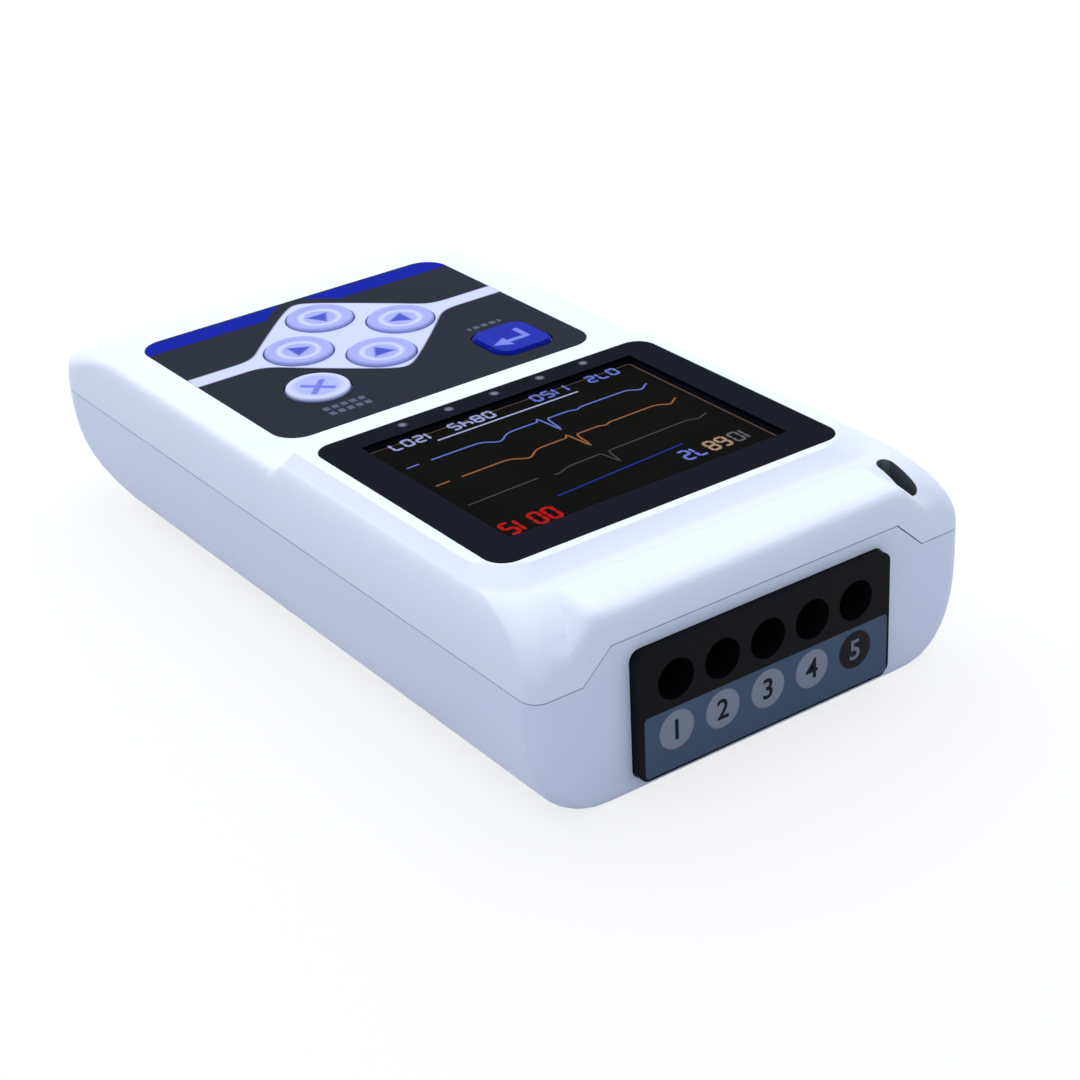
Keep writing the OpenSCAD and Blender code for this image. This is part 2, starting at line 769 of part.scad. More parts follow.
module clock_cell() {
    color([0.78, 0.79, 0.80]) translate([-strip_x, clock_y]) {
        lid_z = board_z - slack - clock_h;
        rod(clock_d, lid_z, board_z - slack);
        rod(clock_d - 2 * clock_rim, lid_z - clock_lid_h, lid_z);
    }
}

module sounder() {
    color([0.07, 0.07, 0.08]) translate([strip_x, sounder_y, 0]) difference() {
        rod(sounder_d, board_z - slack - sounder_h, board_z - slack);
        rod(sounder_hole_d, board_z - slack - sounder_h - cut, board_z - slack - sounder_h + 1);
    }
}

module usb_receptacle() {
    color([0.78, 0.79, 0.80]) translate([half_w - wall - usb_l + 0.4, usb_y, usb_z]) difference() {
        rotate([90, 0, 90]) linear_extrude(usb_l) square([usb_w, usb_h], center = true);
        translate([0.4, 0, 0]) rotate([90, 0, 90]) linear_extrude(usb_l)
            square([usb_w - 2 * usb_skin, usb_h - 2 * usb_skin], center = true);
    }
}

module usb_tongue() {
    color([0.05, 0.05, 0.06]) translate([half_w - wall - usb_l + 0.8, usb_y, usb_z])
        block(0.02, usb_l - 1.6, -usb_w / 2 + 1.1, usb_w / 2 - 1.1, -0.5, 0.5);
}

// ---- Lead sockets ----

function lead_x(i) = (i - (lead_count - 1) / 2) * lead_pitch;

// Plate that stands on its front edge, between two depths.
module upright(w, h, r, y0, y1, z) {
    translate([0, 0, z]) rotate([90, 0, 0]) slab(w, h, r, -y1, -y0);
}

module at_leads() {
    for (i = [0:lead_count - 1]) translate([lead_x(i), 0, lead_z]) children();
}

// Front plate of the sockets, held by a flange behind the case wall.
module socket_block() {
    mid = block_z + block_h / 2;
    color([0.08, 0.08, 0.10]) difference() {
        union() {
            upright(block_w, block_h, block_r, block_y, flange_y, mid);
            upright(block_w + 1.4, block_h - 1.4, block_r, flange_y, flange_y + block_flange, mid + 1.2);
        }
        at_leads() rod_y(lead_bore, block_y - cut, flange_y + block_flange + cut);
        translate([label_x, 0, 0])
            upright(label_w + 0.1, label_h + 0.1, 0.6, block_y - cut, block_y + label_t, label_z);
    }
}

// Insulating body behind the plate, one blind bore for each pin.
module socket_body() {
    y0 = flange_y + block_flange + slack;
    color([0.10, 0.10, 0.11]) difference() {
        block(-block_w / 2, block_w / 2, y0, block_back, lead_z - strip_h / 2, lead_z + strip_h / 2);
        at_leads() {
            rod_y(lead_bore, y0 - cut, socket_end);
            rod_y(lead_shank + 2 * slack, socket_end - cut, block_back + cut);
        }
    }
}

module socket_label() {
    color([0.36, 0.44, 0.55]) translate([label_x, 0, 0])
        upright(label_w, label_h, 0.55, block_y + label_sunk, block_y + label_t - 0.02, label_z);
}

module contact_pins() {
    r = lead_pin / 2;
    color([0.85, 0.72, 0.42]) at_leads() {
        rod_y(lead_pin, pin_tip + r, socket_end - pin_step);
        rod_y(lead_shank, socket_end - pin_step, lead_board_y + board_t + 0.8);
        translate([0, pin_tip + r, 0]) sphere(r = r, $fn = smooth);
        rod_y(collar_d, block_back + slack, lead_board_y - slack);
    }
}

module lead_board() {
    color([0.10, 0.42, 0.24]) difference() {
        block(-block_w / 2, block_w / 2, lead_board_y, lead_board_y + board_t,
            skin + 0.4, board_z - 0.3);
        at_leads() rod_y(lead_shank + 2 * slack, lead_board_y - cut, lead_board_y + board_t + cut);
    }
}

// Right-angle connector that joins the lead board to the main board.
module board_link() {
    y0 = lead_board_y + board_t + slack;
    color([0.06, 0.06, 0.07]) {
        block(-link_w / 2, link_w / 2, y0, board_y0 + 3, board_z - slack - link_h, board_z - slack);
    }
}

// ---- Battery ----

module battery_tray() {
    w = tray_w - bay_wall;
    color([0.62, 0.68, 0.78]) difference() {
        block(-tray_w, tray_w, bay_y0, bay_y1, tray_low, tray_top);
        block(-w, w, bay_y0 + bay_wall, bay_y1 - bay_wall, tray_low - cut, tray_top - bay_roof);
    }
}

module cell(plus_to_front) {
    y = plus_to_front ? 0 : cell_l;
    turn = plus_to_front ? 0 : 180;
    translate([0, cell_y0 + y, cell_z]) rotate([0, 0, turn]) {
        rod_y(cell_d, 0, cell_l);
        rod_y(nub_d, -nub_l, 0);
    }
}

module cell_left() { color([0.80, 0.62, 0.22]) translate([-cell_x, 0, 0]) cell(true); }
module cell_right() {
    color([0.80, 0.62, 0.22]) translate([cell_x, spring_l - nub_l, 0]) cell(false);
}

// A spring carries the minus end of each cell.
module coil(turns, r, wire, length) {
    per = 12;
    sides = 6;
    loft([for (i = [0:turns * per]) let (a = 360 * i / per, s = i / (turns * per),
            q = r * (1 - 0.35 * s))
        [for (k = [0:sides - 1]) let (b = 360 * k / sides)
            [(q + wire / 2 * cos(b)) * cos(a), length * s + wire / 2 * sin(b) + wire / 2,
             -(q + wire / 2 * cos(b)) * sin(a)]]]);
}

module battery_springs() {
    color([0.80, 0.80, 0.82]) {
        translate([-cell_x, bay_y1 - bay_wall - plate_t - slack, cell_z]) mirror([0, 1, 0])
            coil(3, spring_r, 0.7, spring_l - 0.9);
        translate([cell_x, bay_y0 + bay_wall + plate_t + slack, cell_z])
            coil(3, spring_r, 0.7, spring_l - 0.9);
    }
}

module battery_plates() {
    color([0.82, 0.82, 0.84]) for (x = [-1, 1], y = [bay_y0 + bay_wall + 0.02,
            bay_y1 - bay_wall - plate_t - 0.02])
        translate([x * cell_x, 0, cell_z])
            block(-plate_w / 2, plate_w / 2, y, y + plate_t, -plate_w / 2, plate_w / 2);
}

// ---- Fasteners ----

module case_screws() {
    color([0.55, 0.56, 0.58]) at_case_screws() difference() {
        union() {
            rod(head_d, head_z - head_h, head_z - slack);
            rod(screw_d - 0.1, head_z - slack, $roof - 2);
        }
        rod(1.6, head_z - head_h - cut, head_z - head_h + 1);
    }
}

module board_screws() {
    color([0.55, 0.56, 0.58]) at_board_screws() difference() {
        union() {
            rod(3.8, board_z - slack - 1.2, board_z - slack);
            rod(board_screw_d - 0.1, board_z - slack, pad_roof - 1.6);
        }
        rod(1.2, board_z - 3, board_z - slack - 0.6);
    }
}

top_shell();
bottom_shell();
display_window();
window_tape();
lcd_panel();
lcd_frame();
display_flex();
indicator_lights();
keypad_overlay();
key_up();
key_down();
key_left();
key_right();
key_cancel();
key_enter();
key_switches();
main_board();
board_chips();
clock_cell();
sounder();
socket_block();
socket_body();
socket_label();
contact_pins();
lead_board();
board_link();
usb_receptacle();
usb_tongue();
battery_tray();
cell_left();
cell_right();
battery_springs();
battery_plates();
battery_door();
case_screws();
board_screws();
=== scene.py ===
"""Finishes, printed film, live display and studio of a pocket ECG recorder.

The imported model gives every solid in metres: +Z up, lead sockets towards -Y,
keypad towards +Y. This script smooths the solids that show, prints window,
keypad and socket label, and draws the curves and numbers on the display.
"""

from __future__ import annotations

import json
import logging
import math
from dataclasses import dataclass
from enum import Enum
from functools import reduce
from typing import Any, Mapping, Sequence, Union

import bmesh
import bpy
import numpy as np
from mathutils import Euler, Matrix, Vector

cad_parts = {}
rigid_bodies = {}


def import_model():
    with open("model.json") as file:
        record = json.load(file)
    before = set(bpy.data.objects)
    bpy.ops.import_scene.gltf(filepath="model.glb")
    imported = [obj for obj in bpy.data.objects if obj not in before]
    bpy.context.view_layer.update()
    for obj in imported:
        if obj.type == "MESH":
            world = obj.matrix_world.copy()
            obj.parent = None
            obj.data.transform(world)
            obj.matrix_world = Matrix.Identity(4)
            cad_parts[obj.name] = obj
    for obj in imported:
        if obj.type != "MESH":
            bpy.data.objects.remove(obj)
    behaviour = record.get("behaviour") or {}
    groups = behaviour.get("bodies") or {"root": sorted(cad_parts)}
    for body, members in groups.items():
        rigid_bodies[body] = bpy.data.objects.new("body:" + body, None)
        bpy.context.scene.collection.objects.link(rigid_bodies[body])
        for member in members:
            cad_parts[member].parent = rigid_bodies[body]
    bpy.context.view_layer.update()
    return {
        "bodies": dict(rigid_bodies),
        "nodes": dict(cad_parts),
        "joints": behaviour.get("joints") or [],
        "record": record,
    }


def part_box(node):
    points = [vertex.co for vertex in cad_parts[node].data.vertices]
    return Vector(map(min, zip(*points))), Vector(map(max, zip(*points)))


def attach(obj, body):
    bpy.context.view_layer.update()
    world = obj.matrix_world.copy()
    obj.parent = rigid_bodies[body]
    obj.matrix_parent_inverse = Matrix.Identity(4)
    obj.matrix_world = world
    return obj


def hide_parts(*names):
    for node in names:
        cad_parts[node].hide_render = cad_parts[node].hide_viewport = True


LOG = logging.getLogger("recorder")
MM = 0.001
CASE = "case"
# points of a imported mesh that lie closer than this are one, in millimetres
MERGE = 0.002
# distance between two figures of a number, as a share of a figure's width
FIGURE_PITCH = 1.55

Colour = tuple[float, float, float, float]
Point = tuple[float, float]


def paint(red: float, green: float, blue: float) -> Colour:
    """Scene-linear colour, with an alpha of 1, of display values from 0 to 255."""
    channels = (c / 255 for c in (red, green, blue))
    linear = [c / 12.92 if c <= 0.04045 else ((c + 0.055) / 1.055) ** 2.4 for c in channels]
    return (linear[0], linear[1], linear[2], 1.0)


def shade(colour: Colour, factor: float) -> Colour:
    """The same colour, brighter or darker by a factor."""
    return (colour[0] * factor, colour[1] * factor, colour[2] * factor, 1.0)


def stand(name: str, data: Any) -> bpy.types.Object:
    """Links a new object at the origin into the scene."""
    made = bpy.data.objects.new(name, data)
    bpy.context.scene.collection.objects.link(made)
    return made


# ---- shader maths


class Value:
    """A socket in a node tree; arithmetic on it adds Math nodes."""

    def __init__(self, graph: "Graph", socket: Any) -> None:
        """Keeps the tree that owns the socket, and the socket."""
        self.graph = graph
        self.socket = socket

    def math(self, operation: str, *terms: "Number", clamp: bool = False) -> "Value":
        """Adds one Math node.

        Args:
            operation: Blender's name of the operation.
            terms: Its operands in order, numbers or values.
            clamp: Whether the result is kept between 0 and 1.

        Returns:
            The node's result.
        """
        settings = {"operation": operation, "use_clamp": clamp}
        return self.graph.node("ShaderNodeMath", settings, dict(enumerate(terms)))

    def __add__(self, other: "Number") -> "Value":
        """self + other."""
        return self.math("ADD", self, other)

    def __sub__(self, other: "Number") -> "Value":
        """self - other."""
        return self.math("SUBTRACT", self, other)

    def __rsub__(self, other: float) -> "Value":
        """other - self."""
        return self.math("SUBTRACT", other, self)

    def __mul__(self, other: "Number") -> "Value":
        """self * other."""
        return self.math("MULTIPLY", self, other)

    def __truediv__(self, other: "Number") -> "Value":
        """self / other."""
        return self.math("DIVIDE", self, other)

    def __abs__(self) -> "Value":
        """Size without sign."""
        return self.math("ABSOLUTE", self)

    def high(self, other: "Number") -> "Value":
        """The larger of the two."""
        return self.math("MAXIMUM", self, other)

    def low(self, other: "Number") -> "Value":
        """The smaller of the two."""
        return self.math("MINIMUM", self, other)

    def root(self) -> "Value":
        """Square root."""
        return self.math("SQRT", self)

    def wrap(self, size: float) -> "Value":
        """Distance from the nearest multiple of size, in either direction."""
        return abs(self - self.math("ROUND", self / size) * size)

    def fill(self, blur: float = 0.12) -> "Value":
        """Mask of a signed distance: 1 inside, 0 outside, with an edge blur wide."""
        return self.math("MULTIPLY_ADD", self, -1 / blur, 0.5, clamp=True)


Number = Union[Value, float]


class Graph:
    """Node tree that takes nodes in short form."""

    def __init__(self, tree: bpy.types.NodeTree) -> None:
        """Keeps the tree's nodes and links."""
        self.nodes = tree.nodes
        self.links = tree.links

    def node(
        self,
        kind: str,
        settings: Mapping[str, Any] | None = None,
        inputs: Mapping[Any, Any] | None = None,
        out: Any = 0,
    ) -> Value:
        """Adds a node of any kind.

        Args:
            kind: Blender's node type.
            settings: Properties, set first; "stops" are a ramp's places and colours.
            inputs: Numbers, colours or values by socket name or index.
            out: Name or index of the socket that is wanted.

        Returns:
            That output.
        """
        made = self.nodes.new(kind)
        for key, value in (settings or {}).items():
            if key == "stops":
                ramp = made.color_ramp.elements
                for i, (place, colour) in enumerate(value):
                    stop = ramp[i] if i < 2 else ramp.new(place)
                    stop.position, stop.color = place, colour
            else:
                setattr(made, key, value)
        for key, value in (inputs or {}).items():
            if isinstance(value, Value):
                self.links.new(value.socket, made.inputs[key])
            else:
                made.inputs[key].default_value = value
        return Value(self, made.outputs[out])

    def mix(self, factor: Number, first: Any, second: Any) -> Value:
        """Colour between two, 0 for the first and 1 for the second."""
        return self.node(
            "ShaderNodeMix", {"data_type": "RGBA"}, {0: factor, 6: first, 7: second}, out=2
        )


class Shader(Graph):
    """Nodes of one material around its Principled shader."""

    def __init__(self, name: str, constants: Mapping[str, Any]) -> None:
        """Starts a material.

        Args:
            name: Material name.
            constants: Values of the shader's own sockets.
        """
        self.material = bpy.data.materials.new(name)
        self.material.use_nodes = True
        super().__init__(self.material.node_tree)
        self.surface = self.nodes["Principled BSDF"]
        for socket, value in constants.items():
            self.surface.inputs[socket].default_value = value
        self.point = self.node("ShaderNodeTexCoord", out="Object")
        millimetres = self.node(
            "ShaderNodeVectorMath", {"operation": "SCALE"}, {"Vector": self.point, "Scale": 1 / MM}
        )
        self.x, self.y, self.z = (
            self.node("ShaderNodeSeparateXYZ", inputs={0: millimetres}, out=axis) for axis in "XYZ"
        )

    def noise(
        self, size: float, detail: float = 2.0, stretch: Sequence[float] = (1, 1, 1)
    ) -> Value:
        """Soft random pattern around 0.5.

        Args:
            size: Size of its blobs in millimetres.
            detail: Octaves of finer pattern on top.
            stretch: How much longer a blob is along X, Y and Z.

        Returns:
            Values from 0 to 1.
        """
        scale = [1 / (MM * size * s) for s in stretch]
        place = self.node(
            "ShaderNodeVectorMath", {"operation": "MULTIPLY"}, {0: self.point, 1: scale}
        )
        inputs = {"Vector": place, "Scale": 1.0, "Detail": detail}
        return self.node("ShaderNodeTexNoise", inputs=inputs)

    def specks(self, pitch: float, radius: float, share: float) -> Value:
        """Round specks on some cells of a random grid.

        Args:
            pitch: Distance between cells in millimetres.
            radius: Radius of a speck in millimetres.
            share: Share of the cells that hold one.

        Returns:
            1 on a speck and 0 beside it.
        """
        inputs = {"Vector": self.point, "Scale": 1 / (MM * pitch)}
        spot = self.node("ShaderNodeTexVoronoi", inputs=inputs, out="Distance")
        pick = self.node("ShaderNodeTexVoronoi", inputs=inputs, out="Color")
        chance = self.node("ShaderNodeSeparateXYZ", inputs={0: pick}, out="X")
        round_spot = (spot - radius / pitch).fill(0.4 * radius / pitch)
        left = share - chance
        return round_spot * left.math("GREATER_THAN", left, 0.0)

    def relief(self, height: Value, depth: float) -> None:
        """Drives the normal from a height, of which 1 stands for a depth in millimetres."""
        inputs = {"Height": height, "Distance": depth * MM, "Strength": 1.0}
        self.put("Normal", self.node("ShaderNodeBump", inputs=inputs))

    def put(self, socket: str, value: Value) -> None:
        """Links a value to one of the shader's sockets."""
        self.links.new(value.socket, self.surface.inputs[socket])


@dataclass(frozen=True)
class Plane:
    """Two coordinates in millimetres, on which shapes are signed distances."""

    u: Value
    v: Value

    def at(self, u: float, v: float, turn: float = 0.0) -> "Plane":
        """The plane with a new origin, then turned by an angle in degrees."""
        cos, sin = math.cos(math.radians(turn)), math.sin(math.radians(turn))
        du, dv = self.u - u, self.v - v
        return Plane(du * cos + dv * sin, dv * cos - du * sin)

    def disc(self, radius: float) -> Value:
        """Distance from a circle: length of (u, v) less the radius."""
        return (self.u * self.u + self.v * self.v).root() - radius

    def slab(self, width: float, height: float, radius: float = 0.0) -> Value:
        """Distance from a rounded rectangle.

        Args:
            width, height: Its sides.
            radius: Its corner radius.

        Returns:
            length(max(q, 0)) + min(max(q), 0) - radius, with q = |p| - half + radius.
        """
        qu = abs(self.u) - (width / 2 - radius)
        qv = abs(self.v) - (height / 2 - radius)
        out_u, out_v = qu.high(0.0), qv.high(0.0)
        return (out_u * out_u + out_v * out_v).root() + qu.high(qv).low(0.0) - radius

    def rhombus(self, half_u: float, half_v: float, round_off: float) -> Value:
        """Distance from a rhombus with soft tips.

        Args:
            half_u, half_v: Where its straight sides would meet the axes.
            round_off: Softening r of its tips.

        Returns:
            (b * U + a * V - a * b) / hypot(a, b), with U = sqrt(u^2 + r^2) and
            V = sqrt(v^2 + r^2).
        """
        soft = round_off * round_off
        across, along = (self.u * self.u + soft).root(), (self.v * self.v + soft).root()
        total = across * half_v + along * half_u - half_u * half_v
        return total / math.hypot(half_u, half_v)

    def wedge(self, radius: float) -> Value:
        """Distance from a triangle that points along +u, by its three edges."""
        left = self.u * 0.5 + self.v * 0.866 - radius * 0.5
        right = self.u * 0.5 - self.v * 0.866 - radius * 0.5
        return left.high(right).high(self.u * -1.0 - radius * 0.5)


# ---- finishes


@dataclass(frozen=True)
class Plastic:
    """Moulded plastic: fine grain, slow drift of colour, and a few specks."""

    name: str
    colour: Colour
    roughness: float = 0.45
    grain: float = 0.3
    depth: float = 0.012
    drift: float = 0.05
    speck: float = 0.0
    shine: float = 0.35

    def dress(self, shader: Shader) -> Value:
        """Puts grain and gloss on a shader, and gives the colour for prints on top."""
        body = shader.mix(shader.noise(18.0), shade(self.colour, 1 - self.drift), self.colour)
        if self.speck:
            spots = shader.specks(5.0, 0.16, self.speck)
            body = shader.mix(spots * 0.6, body, shade(self.colour, 0.3))
        shader.relief(shader.noise(self.grain, 3.0), self.depth)
        shader.put("Roughness", shader.noise(6.0) * 0.12 + (self.roughness - 0.06))
        return body

    def material(self) -> bpy.types.Material:
        """The finish on its own."""
        shader = Shader(self.name, {"Specular IOR Level": self.shine})
        shader.put("Base Color", self.dress(shader))
        return shader.material


@dataclass(frozen=True)
class Metal:
    """Sheet or turned metal with fine strokes along one axis."""

    name: str
    colour: Colour
    roughness: float = 0.3
    stretch: tuple[float, float, float] = (12.0, 1.0, 1.0)

    def material(self) -> bpy.types.Material:
        """Strokes in colour, gloss and relief."""
        shader = Shader(self.name, {"Metallic": 1.0})
        strokes = shader.noise(0.25, 3.0, self.stretch)
        shader.put("Base Color", shader.mix(strokes, shade(self.colour, 0.8), self.colour))
        shader.put("Roughness", strokes * 0.25 + (self.roughness - 0.1))
        shader.relief(strokes, 0.004)
        return shader.material


@dataclass(frozen=True)
class Glow:
    """Lit dots of the display: an even colour that shines by itself."""

    name: str
    colour: Colour
    strength: float = 0.74

    def material(self) -> bpy.types.Material:
        """Emission with a fine dot pattern, over black."""
        shader = Shader(
            self.name,
            {
                "Base Color": (0, 0, 0, 1),
                "Roughness": 0.6,
                "Specular IOR Level": 0.0,
                "Emission Strength": self.strength,
            },
        )
        dots = shader.noise(0.5, 1.0)
        light = shader.mix(dots, shade(self.colour, 0.75), shade(self.colour, 1.2))
        shader.put("Emission Color", light)
        return shader.material


@dataclass(frozen=True)
class Board:
    """Solder mask over copper tracks, with plated dots."""

    name: str
    mask: Colour
    track: Colour
    track_pitch: float = 1.6
    track_half: float = 0.2

    def material(self) -> bpy.types.Material:
        """Tracks on a grid that random cells switch on, and round pads."""
        shader = Shader(self.name, {"Coat Weight": 0.3})
        lanes = (shader.x.wrap(self.track_pitch) - self.track_half).fill()
        lanes = lanes * (shader.noise(7.0, 1.0, (0.4, 3, 1)) - 0.5).fill(0.02)
        rows = (shader.y.wrap(self.track_pitch) - self.track_half).fill()
        rows = rows * (0.5 - shader.noise(6.0, 1.0, (3, 0.4, 1))).fill(0.02)
        pads = shader.specks(3.4, 0.45, 0.35)
        green = shader.mix(lanes.high(rows), self.mask, self.track)
        shader.put("Base Color", shader.mix(pads, green, paint(190, 186, 170)))
        shader.put("Roughness", 0.45 - pads * 0.15)
        shader.relief(lanes.high(rows).high(pads), 0.03)
        return shader.material


@dataclass(frozen=True)
class Film:
    """Amber film with copper lanes along the ribbon."""

    name: str
    base: Colour
    lane: Colour
    lane_pitch: float = 0.5
    lane_half: float = 0.13

    def material(self) -> bpy.types.Material:
        """Lanes side by side across the ribbon."""
        shader = Shader(self.name, {"Roughness": 0.28})
        lanes = (shader.x.wrap(self.lane_pitch) - self.lane_half).fill(0.05)
        tint = shader.mix(shader.noise(4.0), shade(self.base, 0.85), self.base)
        shader.put("Base Color", shader.mix(lanes, tint, self.lane))
        shader.relief(lanes, 0.01)
        return shader.material


@dataclass(frozen=True)
class CellWrap:
    """Shrink wrap of a cell: dark sleeve with one bright band and bare ends.

    Attributes:
        lowest, highest: The cell's ends along Y.
        bright, bare: Shares of its length where the band lies, and where the ends begin.
    """

    name: str
    lowest: float
    highest: float
    plus_up: bool
    bright: Point = (0.70, 0.965)
    bare: Point = (0.012, 0.972)

    def material(self) -> bpy.types.Material:
        """Bands along Y from one end of the cell to the other."""
        shader = Shader(self.name, {"Coat Weight": 0.2})
        along = (shader.y - self.lowest) / (self.highest - self.lowest)
        if not self.plus_up:
            along = 1.0 - along
        band = (self.bright[0] - along).fill(0.01) * (along - self.bright[1]).fill(0.004)
        ends = (along - self.bare[0]).fill(0.004).high((self.bare[1] - along).fill(0.004))
        wrap = shader.mix(band, paint(42, 46, 58), paint(196, 140, 62))
        wrap = shader.mix(shader.noise(5.0) * 0.3, wrap, paint(90, 92, 100))
        shader.put("Base Color", shader.mix(ends, wrap, paint(200, 200, 196)))
        shader.put("Metallic", ends * 0.9 + band * 0.5)
        shader.put("Roughness", 0.38 - ends * 0.1)
        shader.relief(shader.noise(0.8, 2.0), 0.01)
        return shader.material


# ---- meshes


def closed_mesh(name: str, points: np.ndarray, faces: np.ndarray) -> bpy.types.Mesh:
    """Mesh of closed forms with flat faces, all turned outwards.

    Args:
        name: Mesh name.
        points: n x 3 places in millimetres.
        faces: m x 4 rows of point numbers.

    Returns:
        The mesh, in metres.
    """
    mesh = bpy.data.meshes.new(name)
    mesh.from_pydata((points * MM).tolist(), [], faces.tolist())
    work = bmesh.new()
    work.from_mesh(mesh)
    bmesh.ops.recalc_face_normals(work, faces=work.faces)
    work.to_mesh(mesh)
    work.free()
    mesh.polygons.foreach_set("use_smooth", np.zeros(len(mesh.polygons), dtype=bool))
    return mesh


def ribbon(name: str, path: np.ndarray, width: float, low: float, high: float) -> bpy.types.Mesh:
    """Flat strip along a path, a rectangle carried over every point.

    The rectangle stands across the path's own direction, which is the
    difference of neighbouring points, and reaches from low to high.

    Args:
        name: Mesh name.
        path: n x 2 places in millimetres.
        width: Width of the strip.
        low, high: Levels of its under and upper side.

    Returns:
        The closed strip.
    """
    way = np.gradient(path, axis=0)
    way /= np.linalg.norm(way, axis=1, keepdims=True)
    side = np.stack([-way[:, 1], way[:, 0]], axis=1) * (width / 2)
    rings = np.zeros((len(path), 4, 3))
    rings[:, :, :2] = np.stack([path + side, path - side, path - side, path + side], axis=1)
    rings[:, :, 2] = [low, low, high, high]
    first = np.arange(len(path) - 1)[:, None] * 4
    ring = np.arange(4)[None, :]
    after = (ring + 1) % 4
    walls = np.stack([first + ring, first + after, first + 4 + after, first + 4 + ring], axis=-1)
    ends = np.array([[3, 2, 1, 0], [0, 1, 2, 3]])
    ends[1] += 4 * (len(path) - 1)
    return closed_mesh(name, rings.reshape(-1, 3), np.concatenate([walls.reshape(-1, 4), ends]))


def plates(name: str, marks: np.ndarray, low: float, high: float) -> bpy.types.Mesh:
    """Many flat hexagons, each a bar with pointed ends.

    A bar of length a and width b has its points at (+-a/2, 0) and
    (+-(a - b)/2, +-b/2), turned by its angle and moved to its centre.

    Args:
        name: Mesh name.
        marks: n x 5 rows of centre x and y, length, width and angle in degrees.
        low, high: Levels of the under and upper side.

    Returns:
        The closed bars.
    """
    u = np.array([1, 1, -1, -1, -1, 1]) * 0.5
    tip = np.array([0, 1, 1, 0, 1, 1])
    v = np.array([0, 1, 1, 0, -1, -1]) * 0.5
    length, width = marks[:, 2, None], marks[:, 3, None]
    u = u * (length - width * tip)
    v = v * width
    cos, sin = np.cos(np.radians(marks[:, 4, None])), np.sin(np.radians(marks[:, 4, None]))
    x, y = marks[:, 0, None] + u * cos - v * sin, marks[:, 1, None] + u * sin + v * cos
    flat = np.stack([x, y], axis=-1)
    solid = np.zeros((len(marks), 2, 6, 3))
    solid[..., :2] = flat[:, None]
    solid[:, 0, :, 2], solid[:, 1, :, 2] = low, high
    ring = np.arange(6)
    walls = np.stack([ring, (ring + 1) % 6, (ring + 1) % 6 + 6, ring + 6], axis=-1)
    caps = np.array([[0, 1, 2, 3], [0, 3, 4, 5], [6, 7, 8, 9], [6, 9, 10, 11]])
    one = np.concatenate([walls, caps])
    faces = one[None] + 12 * np.arange(len(marks))[:, None, None]
    return closed_mesh(name, solid.reshape(-1, 3), faces.reshape(-1, 4))


def seven_segments(text: str, place: Point, size: Point, stroke: float) -> np.ndarray:
    """Bars of plain numbers that read from the keypad end.

    A figure stands on a cell size[0] wide and size[1] high. Its seven bars
    lie on the cell's outline and across its middle.

    Args:
        text: Figures from 0 to 9, and blanks.
        place: Middle of the first figure, x and y.
        size: Width and height of a figure.
        stroke: Width of a bar.

    Returns:
        Rows for plates().
    """
    width, height = size
    # centre in halves of the cell, and whether the bar stands upright
    bars = np.array(
        [[0, 1, 0], [1, 0.5, 1], [1, -0.5, 1], [0, -1, 0], [-1, -0.5, 1], [-1, 0.5, 1], [0, 0, 0]]
    )
    lit = ("012345", "12", "01346", "01236", "1256", "02356", "023456", "012", "0123456", "012356")
    rows = []
    for i, figure in enumerate(text):
        if figure == " ":
            continue
        on = bars[[int(c) for c in lit[int(figure)]]]
        x = place[0] - i * width * FIGURE_PITCH - on[:, 0] * width / 2
        y = place[1] - on[:, 1] * height / 2
        long = np.where(on[:, 2] > 0, height / 2, width)
        rows.append(np.stack([x, y, long, np.full(len(on), stroke), on[:, 2] * 90], axis=1))
    return np.concatenate(rows)


